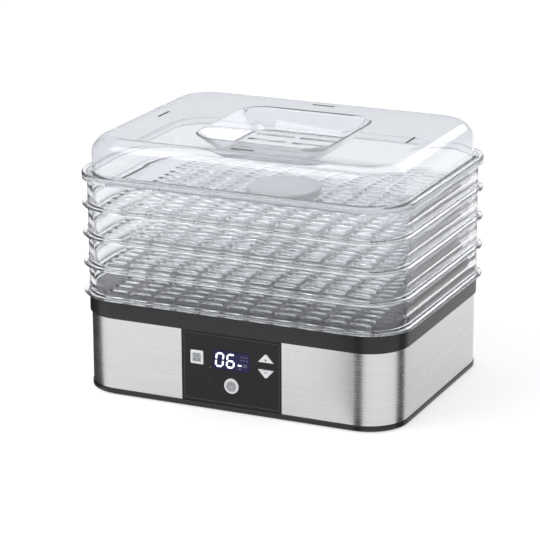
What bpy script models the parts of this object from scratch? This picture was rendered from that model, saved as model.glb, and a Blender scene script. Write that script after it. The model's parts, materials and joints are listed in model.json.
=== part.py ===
"""Food dehydrator: a heated fan base, four clear stacking trays and a clear lid.

Metres, +Z up. The origin is the centre of the footprint on the table, and the control
panel faces -Y. Every plan outline is a rounded rectangle, given by how far it stands
inside one reference outline, so the pieces keep their fits when a size changes.
"""
import math

import bmesh
import bpy
from mathutils import Matrix, Vector

MM = 0.001
GAP = 0.3 * MM                 # air left between pieces that touch

# Overall plan, measured over the tray flanges
WIDTH = 340 * MM
DEPTH = 260 * MM
CORNER = 46 * MM               # plan radius of a flange corner
FLANGE_OUT = 5 * MM            # flange beyond the tray wall
STEEL_SET_BACK = 1.8 * MM      # steel inside the collar
SKIRT_OUT = 0.7 * MM           # skirt beyond the steel

# Base, bottom to top
FOOT_STAND = 0.8 * MM          # pan clear of the table
SKIRT_TALL = 5.1 * MM
STEEL_TALL = 70.8 * MM
COLLAR_TALL = 18.2 * MM
PAN_FLOOR = 2.5 * MM
PAN_WALL = 2.2 * MM
STEEL_THICK = 0.8 * MM
DECK_DROP = 11.7 * MM          # deck below the collar's top edge
DECK_THICK = 2.5 * MM
DECK_RIB = 2 * MM              # thickness of the collar's inner ribs
DECK_SLOT_WIDE = 6 * MM
DECK_SLOT_PITCH = 12 * MM
DECK_SLOT_ROWS = 9
DECK_SLOT_RIB = 4 * MM         # middle rib between the two halves of a slot
OUTLET_INSIDE = 6 * MM         # slots end inside the shroud
LEDGE_DROP = 1.5 * MM          # drip ledge below the tray's lip
INLET_WIDE = 4 * MM
INLET_PITCH = 9 * MM
INLET_ROWS = 5                 # each side of the motor's feet
INLET_REACH = 49.5 * MM
INLET_SHARE = 0.9              # slots drawn in from the round they follow

# Trays and lid
TRAYS = 4
TRAY_PITCH = 29 * MM
TRAY_WALL = 1.8 * MM
FLANGE_THICK = 2.2 * MM
TRAY_FLOOR = 2.6 * MM
NEST_LIP = 3 * MM              # lip under each tray that locates it
NEST_CLEAR = 0.5 * MM
GRID_EDGE_X = 24 * MM          # plain floor left and right of the slots
GRID_EDGE_Y = 12 * MM
GRID_COLUMNS = 4
GRID_ROWS = 8
GRID_BAR = 6 * MM
LID_TALL = 38.2 * MM           # top tray's wall to the top of the lid
LID_THICK = 2 * MM
LID_SET_BACK = 3.5 * MM        # lid wall inside the tray wall
LID_ROUND = 18 * MM            # round along the lid's top edge
LID_ROUND_STEPS = 5
LID_CORNER = 45 * MM           # plan radius of the lid's wall, as on the reference outline
LID_RIM_UP = 4.2 * MM
LID_RIM_DOWN = 2.6 * MM
BASIN_HALF = 69 * MM           # grip basin, opening
BASIN_FLOOR_HALF = 50 * MM
BASIN_CORNER = 28 * MM
BASIN_DEEP = 18 * MM
BASIN_SLOTS = 4
BASIN_SLOT_LONG = 42 * MM
BASIN_SLOT_WIDE = 6 * MM
BASIN_RIB = 8 * MM
SLIT_LONG = 24 * MM
SLIT_WIDE = 2 * MM
SLIT_EDGE_X = 31.7 * MM        # lid wall to a side slit
SLIT_EDGE_Y = 27.2 * MM
CAP_RADIUS = 36 * MM
CAP_TALL = 6.5 * MM
CAP_WALL = 1.6 * MM

# Control panel, heights above the table
PANEL_WIDE = 104 * MM
PANEL_RECESS = 0.3 * MM
PANEL_PLATE = 1.0 * MM
PANEL_BODY = 4 * MM            # thickness of the boss behind the plate
PANEL_LAND = 3.5 * MM          # plate that overlaps the pan wall
PANEL_SHELL = 1.6 * MM         # wall of the hollow boss
LENS_THICK = 2 * MM
WINDOW_WIDE = 38.4 * MM
WINDOW_TALL = 19.4 * MM
WINDOW_HEIGHT = 51.3 * MM
BUTTON_SIDE = 35.8 * MM          # mode and arrow buttons from the middle
MODE_SIZE = 13.4 * MM
MODE_HEIGHT = 50.8 * MM
POWER_RADIUS = 7.5 * MM
POWER_HEIGHT = 26.5 * MM
ARROW_WIDE = 16.8 * MM
ARROW_TALL = 8.2 * MM
ARROW_SPLIT = 3.4 * MM         # half of the space between the arrows
ARROW_NOSE = 1 * MM            # half width of an arrow's blunt tip
BUTTON_PROUD = 0.9 * MM
BUTTON_TRAVEL = 0.7 * MM
BUTTON_CLEAR = 0.35 * MM
STEM_RADIUS = 2 * MM
LED_SIDE = -22 * MM
LED_HEIGHT = 42.6 * MM
LED_RADIUS = 0.8 * MM

# Fan, heater and boards
SHROUD_RADIUS = 62 * MM
SHROUD_WALL = 1.8 * MM
BLADES = 7
BLADE_REACH = 57 * MM
BLADE_THICK = 1.6 * MM
BLADE_TALL = 9 * MM
HUB_RADIUS = 13 * MM
HUB_BOTTOM = 51 * MM
HUB_TALL = 11 * MM
SHAFT_RADIUS = 1.5 * MM
SHAFT_CLEAR = 0.4 * MM
MOTOR_RADIUS = 18 * MM
MOTOR_BOTTOM = 26 * MM
MOTOR_TALL = 21 * MM
BRACKET_THICK = 1.6 * MM
BRACKET_WIDE = 20 * MM
BRACKET_HALF = 34 * MM
BRACKET_FOOT = 12 * MM
MOTOR_SCREW_SIDE = 9 * MM
MOTOR_NOSE = 6 * MM            # radius of the bearing boss
MOTOR_NOSE_TALL = 2 * MM
BLADE_LEANS = (50, 36, 24)     # degrees at the hub, part way out and at the tip
BLADE_CHORD = 9 * MM
BLADE_SPREAD = 0.32            # chord gained per unit of reach
SHROUD_FLANGE = 4 * MM
SHROUD_FLANGE_THICK = 2 * MM
HEATER_RADIUS = 58 * MM
HEATER_BOTTOM = 67 * MM
HEATER_TALL = 8 * MM
COIL_RADIUS = 42 * MM
COIL_WIRE = 1.6 * MM
CROSS_HALF = 0.6 * MM          # half thickness of the heater's cross
FUSE_RADIUS = 1.3 * MM
FUSE_LONG = 10 * MM
SENSOR_SIDE = 20 * MM          # fuse and sensor, each side of the middle
SENSOR_RADIUS = 1.6 * MM
SENSOR_TALL = 3.2 * MM
THERMOSTAT_RADIUS = 7 * MM
THERMOSTAT_TALL = 2.7 * MM
BOARD_THICK = 1.6 * MM
BOARD_BEHIND = 10.5 * MM       # control board behind the panel's face
BOARD_EDGE = 4 * MM            # control board inside the panel's land, and a post inside the board
SWITCH_TALL = 3.4 * MM
PILOT_RADIUS = 0.9 * MM        # board screws' holes
BOARD_HEAD = 1.8 * MM
BOARD_SHANK = 0.6 * MM
POWER_WALL = 28 * MM           # power board inside the tray wall's outline
POWER_SHROUD = 12 * MM         # power board clear of the shroud
POWER_HALF = 35 * MM
POWER_LEG = 5 * MM             # leg inside the power board's edge
POWER_STAND = 5 * MM
SWITCH_SIZE = 6 * MM
POST_RADIUS = 2.6 * MM
SCREW_HEAD = 3.4 * MM
SCREW_SHANK = 1.5 * MM
HEAD_THICK = 1.6 * MM
BOSS_RADIUS = 4.5 * MM
BASE_BORE_TOP = 24 * MM        # depth of the base screws' bores, and of the screws
BASE_SCREW_TOP = 20 * MM
BOSS_EDGE = 16 * MM            # base screws inside the steel
FOOT_RADIUS = 8 * MM
FOOT_EDGE = 46 * MM
FOOT_SUNK = 1 * MM
GLAND_SIDE = 105 * MM
GLAND_HEIGHT = 24 * MM
GLAND_RADIUS = 6 * MM
GLAND_FLANGE = 9 * MM
GLAND_HOLE = 3.6 * MM
GLAND_OUT = 3 * MM
GLAND_IN = 8 * MM

CORNER_STEPS = 6
ROUND_STEPS = 24
SMALL_STEPS = 12

# Reference outline: the tray wall's outer face. Insets are counted inwards from it.
WALL_X = WIDTH / 2 - FLANGE_OUT
WALL_Y = DEPTH / 2 - FLANGE_OUT
WALL_R = CORNER - FLANGE_OUT
STEEL_IN = STEEL_SET_BACK
PAN_IN = STEEL_IN + STEEL_THICK + 2 * GAP
FRONT = -(WALL_Y - STEEL_IN)   # steel's front face
SKIRT_TOP = FOOT_STAND + SKIRT_TALL
FLOOR_TOP = FOOT_STAND + PAN_FLOOR
STEEL_TOP = SKIRT_TOP + GAP + STEEL_TALL
COLLAR_BOTTOM = STEEL_TOP + GAP
COLLAR_TOP = COLLAR_BOTTOM + COLLAR_TALL
DECK_TOP = COLLAR_TOP - DECK_DROP
DECK_BOTTOM = DECK_TOP - DECK_THICK
TRAY_BOTTOM = COLLAR_TOP + GAP
LID_SEAT = TRAY_BOTTOM + TRAYS * TRAY_PITCH
LID_TOP = LID_SEAT + LID_TALL
LIP_IN = TRAY_WALL + NEST_CLEAR
FACE = FRONT + PANEL_RECESS    # panel's front face
BODY_BACK = FACE + PANEL_PLATE + PANEL_BODY
BOARD_FRONT = FACE + BOARD_BEHIND
SWITCH_FRONT = BOARD_FRONT - SWITCH_TALL
STEM_END = SWITCH_FRONT - BUTTON_TRAVEL - GAP
BOARD_HALF = PANEL_WIDE / 2 - PANEL_LAND - BOARD_EDGE
BOARD_LOW = SKIRT_TOP + PANEL_LAND + BOARD_EDGE
BOARD_HIGH = STEEL_TOP - PANEL_LAND - BOARD_EDGE

# Materials: name, colour, roughness, metallic, alpha
BLACK = ("black_plastic", (0.030, 0.031, 0.033), 0.42, 0.0, 1.0)
STEEL = ("brushed_steel", (0.62, 0.60, 0.58), 0.32, 1.0, 1.0)
CLEAR = ("clear_plastic", (0.86, 0.89, 0.91), 0.08, 0.0, 0.3)
SMOKE = ("smoked_lens", (0.02, 0.02, 0.05), 0.10, 0.0, 0.85)
SILVER = ("silver_button", (0.60, 0.61, 0.62), 0.35, 0.6, 1.0)
RUBBER = ("rubber", (0.04, 0.04, 0.04), 0.85, 0.0, 1.0)
BOARD = ("circuit_board", (0.04, 0.22, 0.10), 0.50, 0.0, 1.0)
ZINC = ("zinc_plate", (0.55, 0.56, 0.57), 0.40, 1.0, 1.0)
COPPER = ("heater_wire", (0.35, 0.30, 0.26), 0.45, 1.0, 1.0)
MICA = ("mica_sheet", (0.62, 0.52, 0.36), 0.60, 0.0, 1.0)
CREAM = ("white_plastic", (0.75, 0.75, 0.72), 0.45, 0.0, 1.0)


def material(look):
    """Principled material for one finish, shared by every piece that has it."""
    name, colour, rough, metal, alpha = look
    found = bpy.data.materials.get(name)
    if found:
        return found
    made = bpy.data.materials.new(name)
    made.use_nodes = True
    shader = made.node_tree.nodes["Principled BSDF"]
    shader.inputs["Base Color"].default_value = (*colour, 1)
    shader.inputs["Roughness"].default_value = rough
    shader.inputs["Metallic"].default_value = metal
    shader.inputs["Alpha"].default_value = alpha
    return made


def piece(name, mesh, look, place=(0, 0, 0)):
    """Make a named object from a bmesh, with its origin at place."""
    bmesh.ops.recalc_face_normals(mesh, faces=mesh.faces)
    data = bpy.data.meshes.new(name)
    mesh.to_mesh(data)
    mesh.free()
    data.shade_smooth()
    data.set_sharp_from_angle(angle=math.radians(35))
    data.materials.append(material(look))
    made = bpy.data.objects.new(name, data)
    made.location = place
    bpy.context.collection.objects.link(made)
    return made


def cut(target, tool, operation="DIFFERENCE"):
    """Boolean target with tool, then drop the tool. Several bodies may be in one tool."""
    step = target.modifiers.new(tool.name, "BOOLEAN")
    step.operation = operation
    step.solver = "EXACT"
    step.object = tool
    bpy.context.view_layer.update()
    graph = bpy.context.evaluated_depsgraph_get()
    data = bpy.data.meshes.new_from_object(target.evaluated_get(graph), depsgraph=graph)
    target.modifiers.clear()
    target.data = data
    bpy.data.objects.remove(tool)


def outline(half_x, half_y, radius, height):
    """Rounded rectangle, anticlockwise from its +X side, as points at one height."""
    points = []
    for quarter, (side_x, side_y) in enumerate(((1, 1), (-1, 1), (-1, -1), (1, -1))):
        for step in range(CORNER_STEPS + 1):
            angle = (quarter + step / CORNER_STEPS) * math.pi / 2
            x = side_x * (half_x - radius) + radius * math.cos(angle)
            y = side_y * (half_y - radius) + radius * math.sin(angle)
            points.append(Vector((x, y, height)))
    return points


def inset(distance, height):
    """The tray wall's outline, moved inwards by distance (outwards if negative)."""
    return outline(WALL_X - distance, WALL_Y - distance, WALL_R - distance, height)


def lid_outline(distance, height):
    """The lid wall's outline, counted inwards from the same reference."""
    return outline(WALL_X - distance, WALL_Y - distance, LID_CORNER - distance, height)


def basin(half, height):
    """The grip basin's outline, rounder towards its floor's corners as it narrows."""
    return outline(half, half, BASIN_CORNER - (BASIN_HALF - half) / 2, height)


def lofted(rings, closed=False):
    """Skin through rings of equal count: capped at both ends, or joined end to end."""
    mesh = bmesh.new()
    loops = [[mesh.verts.new(point) for point in ring] for ring in rings]
    count = len(loops[0])
    following = loops[1:] + ([loops[0]] if closed else [])
    for near, far in zip(loops, following):
        for i in range(count):
            mesh.faces.new((near[i], near[(i + 1) % count], far[(i + 1) % count], far[i]))
    if not closed:
        mesh.faces.new(loops[0])
        mesh.faces.new(loops[-1])
    return mesh


def add_box(mesh, low, high):
    size = Vector(high) - Vector(low)
    middle = (Vector(high) + Vector(low)) / 2
    matrix = Matrix.Translation(middle) @ Matrix.Diagonal((*size, 1))
    bmesh.ops.create_cube(mesh, size=1, matrix=matrix)


def box(low, high):
    mesh = bmesh.new()
    add_box(mesh, low, high)
    return mesh


def add_rod(mesh, start, end, radius, steps=ROUND_STEPS, end_radius=None):
    """Round bar or cone from start to end."""
    run = Vector(end) - Vector(start)
    turn = run.to_track_quat("Z", "Y").to_matrix().to_4x4()
    matrix = Matrix.Translation((Vector(start) + Vector(end)) / 2) @ turn
    far = radius if end_radius is None else end_radius
    bmesh.ops.create_cone(mesh, cap_ends=True, segments=steps, radius1=radius,
                          radius2=far, depth=run.length, matrix=matrix)


def rod(start, end, radius, steps=ROUND_STEPS, end_radius=None):
    mesh = bmesh.new()
    add_rod(mesh, start, end, radius, steps, end_radius)
    return mesh


def turned(profile, steps=ROUND_STEPS):
    """Spin a closed (radius, height) outline about Z."""
    mesh = bmesh.new()
    ring = [mesh.verts.new((radius, 0, height)) for radius, height in profile]
    edges = [mesh.edges.new((a, b)) for a, b in zip(ring, ring[1:] + ring[:1])]
    bmesh.ops.spin(mesh, geom=ring + edges, axis=(0, 0, 1), cent=(0, 0, 0),
                   angle=math.tau, steps=steps, use_merge=True)
    return mesh


def pan_screws():
    """Places of the six base screws."""
    half_x = WALL_X - STEEL_IN - BOSS_EDGE
    half_y = WALL_Y - STEEL_IN - BOSS_EDGE
    corner_x = half_x - WALL_R / 4
    corner_y = half_y - WALL_R / 4
    places = [(x, y) for x in (-corner_x, corner_x) for y in (-corner_y, corner_y)]
    return places + [(-half_x, 0), (half_x, 0)]


def foot_places():
    half_x = WALL_X - STEEL_IN - FOOT_EDGE
    half_y = WALL_Y - STEEL_IN - FOOT_EDGE
    return [(x, y) for x in (-half_x, half_x) for y in (-half_y, half_y)]


def base_pan():
    wall_in = PAN_IN + PAN_WALL
    pan = piece("base_pan", lofted([
        inset(STEEL_IN - SKIRT_OUT + MM, FOOT_STAND),
        inset(STEEL_IN - SKIRT_OUT, FOOT_STAND + MM),
        inset(STEEL_IN - SKIRT_OUT, SKIRT_TOP),
        inset(PAN_IN, SKIRT_TOP),
        inset(PAN_IN, STEEL_TOP),
        inset(wall_in, STEEL_TOP),
        inset(wall_in, FLOOR_TOP),
    ]), BLACK)
    tool = bmesh.new()
    half_open = PANEL_WIDE / 2 - PANEL_LAND
    add_box(tool, (-half_open, FRONT - MM, SKIRT_TOP + PANEL_LAND),
            (half_open, -(WALL_Y - wall_in) + MM, STEEL_TOP - PANEL_LAND))
    for row in range(-INLET_ROWS, INLET_ROWS + 1):
        if row == 0:
            continue
        y = row * INLET_PITCH
        half = math.sqrt(INLET_REACH ** 2 - y ** 2) * INLET_SHARE
        add_box(tool, (-half, y - INLET_WIDE / 2, 0), (half, y + INLET_WIDE / 2, FLOOR_TOP + MM))
    for x, y in pan_screws():
        add_rod(tool, (x, y, 0), (x, y, FLOOR_TOP + MM), SCREW_SHANK + GAP, SMALL_STEPS)
    cut(pan, piece("pan_openings", tool, BLACK))
    tool = bmesh.new()
    for x, y in pan_screws():
        add_rod(tool, (x, y, 0), (x, y, FOOT_STAND + HEAD_THICK), SCREW_HEAD + GAP, SMALL_STEPS)
    for x, y in foot_places():
        add_rod(tool, (x, y, 0), (x, y, FOOT_STAND + FOOT_SUNK), FOOT_RADIUS + GAP)
    back = -FRONT
    add_rod(tool, (GLAND_SIDE, back - GLAND_IN, GLAND_HEIGHT), (GLAND_SIDE, back + MM, GLAND_HEIGHT),
            GLAND_RADIUS + GAP)
    cut(pan, piece("pan_pockets", tool, BLACK))


def steel_wrap():
    """One bent strip, open at the front for the control panel."""
    low = SKIRT_TOP + GAP
    wrap = piece("steel_wrap", lofted([
        inset(STEEL_IN, low),
        inset(STEEL_IN, STEEL_TOP),
        inset(STEEL_IN + STEEL_THICK, STEEL_TOP),
        inset(STEEL_IN + STEEL_THICK, low),
    ], closed=True), STEEL)
    tool = box((-PANEL_WIDE / 2, FRONT - MM, 0), (PANEL_WIDE / 2, FRONT + PAN_IN, 2 * STEEL_TOP))
    back = -FRONT
    add_rod(tool, (GLAND_SIDE, back - GLAND_IN, GLAND_HEIGHT), (GLAND_SIDE, back + MM, GLAND_HEIGHT),
            GLAND_RADIUS + GAP)
    cut(wrap, piece("strip_gap", tool, STEEL))


def top_deck():
    """Collar, drip ledge and slotted deck in one moulding, with bosses for the base screws."""
    locate_in = PAN_IN + PAN_WALL + NEST_CLEAR
    rib = DECK_RIB
    locate_low = COLLAR_BOTTOM - PANEL_LAND
    pocket_top = DECK_TOP + rib
    ledge = COLLAR_TOP - NEST_LIP - LEDGE_DROP
    deck = piece("top_deck", lofted([
        inset(locate_in + rib, DECK_BOTTOM),
        inset(locate_in + rib, locate_low),
        inset(locate_in, locate_low),
        inset(locate_in, pocket_top),
        inset(TRAY_WALL + NEST_CLEAR, pocket_top),
        inset(TRAY_WALL + NEST_CLEAR, COLLAR_BOTTOM),
        inset(0, COLLAR_BOTTOM),
        inset(0, COLLAR_TOP - MM),
        inset(MM / 3, COLLAR_TOP - MM / 3),
        inset(MM, COLLAR_TOP),
        inset(TRAY_WALL, COLLAR_TOP),
        inset(TRAY_WALL, ledge),
        inset(locate_in + 2 * rib, ledge - rib),
        inset(locate_in + 4 * rib, DECK_TOP),
    ]), BLACK)
    bosses = bmesh.new()
    for x, y in pan_screws():
        add_rod(bosses, (x, y, FLOOR_TOP + GAP), (x, y, DECK_TOP - MM), BOSS_RADIUS, SMALL_STEPS)
    cut(deck, piece("bosses", bosses, BLACK), "UNION")
    tool = bmesh.new()
    for x, y in pan_screws():
        add_rod(tool, (x, y, 0), (x, y, BASE_BORE_TOP), SCREW_SHANK + GAP, SMALL_STEPS)
    outlet = SHROUD_RADIUS - OUTLET_INSIDE
    for row in range(DECK_SLOT_ROWS):
        y = (row - (DECK_SLOT_ROWS - 1) / 2) * DECK_SLOT_PITCH
        half = math.sqrt(outlet ** 2 - y ** 2)
        for side in (-1, 1):
            ends = sorted((side * DECK_SLOT_RIB / 2, side * half))
            add_box(tool, (ends[0], y - DECK_SLOT_WIDE / 2, DECK_BOTTOM - MM),
                    (ends[1], y + DECK_SLOT_WIDE / 2, DECK_TOP + MM))
    cut(deck, piece("deck_openings", tool, BLACK))


def prism(corners, near, far):
    """Upright shape on the panel: (x, z) corners carried from y = near to y = far."""
    return lofted([[Vector((x, near, z)) for x, z in corners],
                   [Vector((x, far, z)) for x, z in corners]])


def arrow(direction, grow=0.0):
    """Triangle of an arrow button, grown evenly; direction is 1 for up, -1 for down."""
    base = WINDOW_HEIGHT + direction * (ARROW_SPLIT - grow)
    tip = WINDOW_HEIGHT + direction * (ARROW_SPLIT + ARROW_TALL + grow * 1.6)
    half = ARROW_WIDE / 2 + grow * 2
    return [(BUTTON_SIDE - half, base), (BUTTON_SIDE + half, base),
            (BUTTON_SIDE + ARROW_NOSE, tip), (BUTTON_SIDE - ARROW_NOSE, tip)]


def square(grow=0.0):
    half = MODE_SIZE / 2 + grow
    return [(-BUTTON_SIDE - half, MODE_HEIGHT - half), (-BUTTON_SIDE + half, MODE_HEIGHT - half),
            (-BUTTON_SIDE + half, MODE_HEIGHT + half), (-BUTTON_SIDE - half, MODE_HEIGHT + half)]


def disc(grow=0.0):
    radius = POWER_RADIUS + grow
    turn = math.tau / ROUND_STEPS
    return [(radius * math.cos(i * turn), POWER_HEIGHT + radius * math.sin(i * turn))
            for i in range(ROUND_STEPS)]


# Each button: its outline, and the middle of its stem
BUTTONS = {
    "mode_button": (square, -BUTTON_SIDE, MODE_HEIGHT),
    "power_button": (disc, 0.0, POWER_HEIGHT),
    "up_button": (lambda grow=0.0: arrow(1, grow), BUTTON_SIDE,
                  WINDOW_HEIGHT + ARROW_SPLIT + ARROW_TALL / 3),
    "down_button": (lambda grow=0.0: arrow(-1, grow), BUTTON_SIDE,
                    WINDOW_HEIGHT - ARROW_SPLIT - ARROW_TALL / 3),
}


def board_posts():
    x = BOARD_HALF - BOARD_EDGE
    return [(side * x, z) for side in (-1, 1)
            for z in (BOARD_LOW + BOARD_EDGE, BOARD_HIGH - BOARD_EDGE)]


def control_panel():
    half = PANEL_WIDE / 2 - GAP
    inner = PANEL_WIDE / 2 - PANEL_LAND - GAP
    low = SKIRT_TOP + PANEL_LAND + GAP
    high = STEEL_TOP - PANEL_LAND - GAP
    plate_low = SKIRT_TOP + GAP
    plate = box((-half, FACE, plate_low), (half, FACE + PANEL_PLATE, STEEL_TOP))
    fascia = piece("control_fascia", plate, BLACK)
    body = box((-inner, FACE + PANEL_PLATE / 2, low), (inner, BODY_BACK, high))
    cut(fascia, piece("panel_body", body, BLACK), "UNION")
    tool = box((-inner + PANEL_SHELL, FACE + PANEL_PLATE + PANEL_SHELL, low + PANEL_SHELL),
               (inner - PANEL_SHELL, BODY_BACK + MM, high - PANEL_SHELL))
    cut(fascia, piece("panel_hollow", tool, BLACK))
    posts = bmesh.new()
    for x, z in board_posts():
        add_rod(posts, (x, FACE + PANEL_PLATE, z), (x, BOARD_FRONT - GAP, z), POST_RADIUS, SMALL_STEPS)
    cut(fascia, piece("panel_posts", posts, BLACK), "UNION")
    tool = box((-WINDOW_WIDE / 2, FACE - MM, WINDOW_HEIGHT - WINDOW_TALL / 2),
               (WINDOW_WIDE / 2, BODY_BACK, WINDOW_HEIGHT + WINDOW_TALL / 2))
    add_rod(tool, (LED_SIDE, FACE - MM, LED_HEIGHT), (LED_SIDE, BODY_BACK, LED_HEIGHT),
            LED_RADIUS + GAP, SMALL_STEPS)
    cut(fascia, piece("panel_window", tool, BLACK))
    for name, (shape, x, z) in BUTTONS.items():
        hole = prism(shape(BUTTON_CLEAR), FACE - MM, BODY_BACK + MM)
        cut(fascia, piece("hole", hole, BLACK))
    tool = bmesh.new()
    for x, z in board_posts():
        add_rod(tool, (x, BOARD_FRONT - 5 * MM, z), (x, BOARD_FRONT, z), PILOT_RADIUS, 8)
    cut(fascia, piece("post_bores", tool, BLACK))
    lens = box((-WINDOW_WIDE / 2 + GAP, FACE, WINDOW_HEIGHT - WINDOW_TALL / 2 + GAP),
               (WINDOW_WIDE / 2 - GAP, FACE + LENS_THICK, WINDOW_HEIGHT + WINDOW_TALL / 2 - GAP))
    piece("display_lens", lens, SMOKE)
    module = box((-WINDOW_WIDE / 2 + MM, FACE + LENS_THICK + GAP,
                  WINDOW_HEIGHT - WINDOW_TALL / 2 + MM),
                 (WINDOW_WIDE / 2 - MM, BOARD_FRONT - GAP, WINDOW_HEIGHT + WINDOW_TALL / 2 - MM))
    piece("display_module", module, CREAM)
    led = rod((LED_SIDE, FACE, LED_HEIGHT), (LED_SIDE, BOARD_FRONT - GAP, LED_HEIGHT),
              LED_RADIUS, SMALL_STEPS)
    piece("status_led", led, CREAM)


def buttons():
    """Each button is a cap with a stem that ends at its switch; its origin is on its axis."""
    for name, (shape, x, z) in BUTTONS.items():
        cap = prism(shape(), FACE - BUTTON_PROUD, BODY_BACK - MM)
        button = piece(name, cap, SILVER)
        stem = rod((x, BODY_BACK - 2 * MM, z), (x, STEM_END, z), STEM_RADIUS, SMALL_STEPS)
        cut(button, piece("stem", stem, SILVER), "UNION")
        button.data.transform(Matrix.Translation((-x, -FACE, -z)))
        button.location = (x, FACE, z)
        half = SWITCH_SIZE / 2
        switch = box((x - half, SWITCH_FRONT, z - half), (x + half, BOARD_FRONT - GAP, z + half))
        piece(name.replace("button", "switch"), switch, CREAM)


def control_board():
    back = BOARD_FRONT + BOARD_THICK
    board = piece("control_board", box((-BOARD_HALF, BOARD_FRONT, BOARD_LOW),
                                       (BOARD_HALF, back, BOARD_HIGH)), BOARD)
    tool = bmesh.new()
    for x, z in board_posts():
        add_rod(tool, (x, BOARD_FRONT - MM, z), (x, back + MM, z), PILOT_RADIUS, 8)
    cut(board, piece("board_holes", tool, BOARD))
    for number, (x, z) in enumerate(board_posts(), 1):
        head = back + GAP
        screw = piece(f"board_screw_{number}", rod((x, head, z), (x, head + MM, z), BOARD_HEAD, 8), ZINC)
        shank = rod((x, head + MM / 2, z), (x, BOARD_FRONT - 4 * MM, z), BOARD_SHANK, 8)
        cut(screw, piece("shank", shank, ZINC), "UNION")


def fan():
    """Motor on a folded bracket, and an impeller on its shaft. The fan's origin is on its axis."""
    strap = BRACKET_THICK
    foot = BRACKET_FOOT
    low = FLOOR_TOP + GAP
    top = MOTOR_BOTTOM - GAP
    half = BRACKET_HALF
    fold = [(-half - foot, low), (-half + strap, low), (-half + strap, top - strap),
            (half - strap, top - strap), (half - strap, low), (half + foot, low),
            (half + foot, low + strap), (half, low + strap), (half, top), (-half, top),
            (-half, low + strap), (-half - foot, low + strap)]
    bracket = piece("motor_bracket", prism(fold, -BRACKET_WIDE / 2, BRACKET_WIDE / 2), ZINC)
    tool = bmesh.new()
    for x in (-MOTOR_SCREW_SIDE, MOTOR_SCREW_SIDE):
        add_rod(tool, (x, 0, top - 3 * strap), (x, 0, top + MM), SCREW_SHANK + GAP, 8)
    cut(bracket, piece("bracket_holes", tool, ZINC))
    motor_top = MOTOR_BOTTOM + MOTOR_TALL
    bearing = SHAFT_RADIUS + SHAFT_CLEAR
    motor = piece("fan_motor", turned([
        (0.5 * MM, MOTOR_BOTTOM + 2 * MM), (0.5 * MM, MOTOR_BOTTOM),
        (MOTOR_RADIUS, MOTOR_BOTTOM), (MOTOR_RADIUS, motor_top), (MOTOR_NOSE, motor_top),
        (MOTOR_NOSE, motor_top + MOTOR_NOSE_TALL), (bearing, motor_top + MOTOR_NOSE_TALL),
        (bearing, MOTOR_BOTTOM + 2 * MM)]), ZINC)
    tool = bmesh.new()
    for x in (-MOTOR_SCREW_SIDE, MOTOR_SCREW_SIDE):
        add_rod(tool, (x, 0, MOTOR_BOTTOM - MM), (x, 0, MOTOR_BOTTOM + 6 * MM), SCREW_SHANK + GAP, 8)
    cut(motor, piece("motor_holes", tool, ZINC))
    for number, x in enumerate((-MOTOR_SCREW_SIDE, MOTOR_SCREW_SIDE), 1):
        head = top - strap - GAP
        screw = piece(f"motor_screw_{number}",
                      rod((x, 0, head - HEAD_THICK), (x, 0, head), SCREW_HEAD, SMALL_STEPS), ZINC)
        shank = rod((x, 0, head - MM), (x, 0, MOTOR_BOTTOM + 5 * MM), SCREW_SHANK, 8)
        cut(screw, piece("shank", shank, ZINC), "UNION")
    axle = rod((0, 0, MOTOR_BOTTOM + 2 * MM + GAP), (0, 0, HUB_BOTTOM + HUB_TALL + MM),
               SHAFT_RADIUS, SMALL_STEPS)
    piece("fan_shaft", axle, ZINC)
    hub_top = HUB_BOTTOM + HUB_TALL
    bore = SHAFT_RADIUS + GAP
    impeller = piece("fan_impeller", turned([
        (bore, HUB_BOTTOM), (HUB_RADIUS, HUB_BOTTOM), (HUB_RADIUS, hub_top - 2 * MM),
        (HUB_RADIUS - 2 * MM, hub_top), (bore, hub_top)]), BLACK)
    for number in range(BLADES):
        sections = []
        for reach, pitch in zip((HUB_RADIUS - 2 * MM, 0.6 * BLADE_REACH, BLADE_REACH), BLADE_LEANS):
            chord = BLADE_CHORD + BLADE_SPREAD * reach
            lean = math.radians(pitch)
            along = Vector((0, math.cos(lean), math.sin(lean))) * chord / 2
            thick = Vector((0, -math.sin(lean), math.cos(lean))) * BLADE_THICK / 2
            middle = Vector((reach, 0, HUB_BOTTOM + HUB_TALL / 2))
            limit = BLADE_TALL / 2
            if along.z > limit:
                along *= limit / along.z
            sections.append([middle - along - thick, middle + along - thick,
                             middle + along + thick, middle - along + thick])
        blade = lofted(sections)
        blade.transform(Matrix.Rotation(math.tau * number / BLADES, 4, "Z"))
        cut(impeller, piece("blade", blade, BLACK), "UNION")
    outer = SHROUD_RADIUS + SHROUD_WALL
    foot_low = FLOOR_TOP + GAP
    piece("fan_shroud", turned([
        (SHROUD_RADIUS, foot_low), (outer + SHROUD_FLANGE, foot_low),
        (outer + SHROUD_FLANGE, foot_low + SHROUD_FLANGE_THICK), (outer, foot_low + SHROUD_FLANGE_THICK),
        (outer, DECK_BOTTOM - GAP), (SHROUD_RADIUS, DECK_BOTTOM - GAP)]), ZINC)


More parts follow.
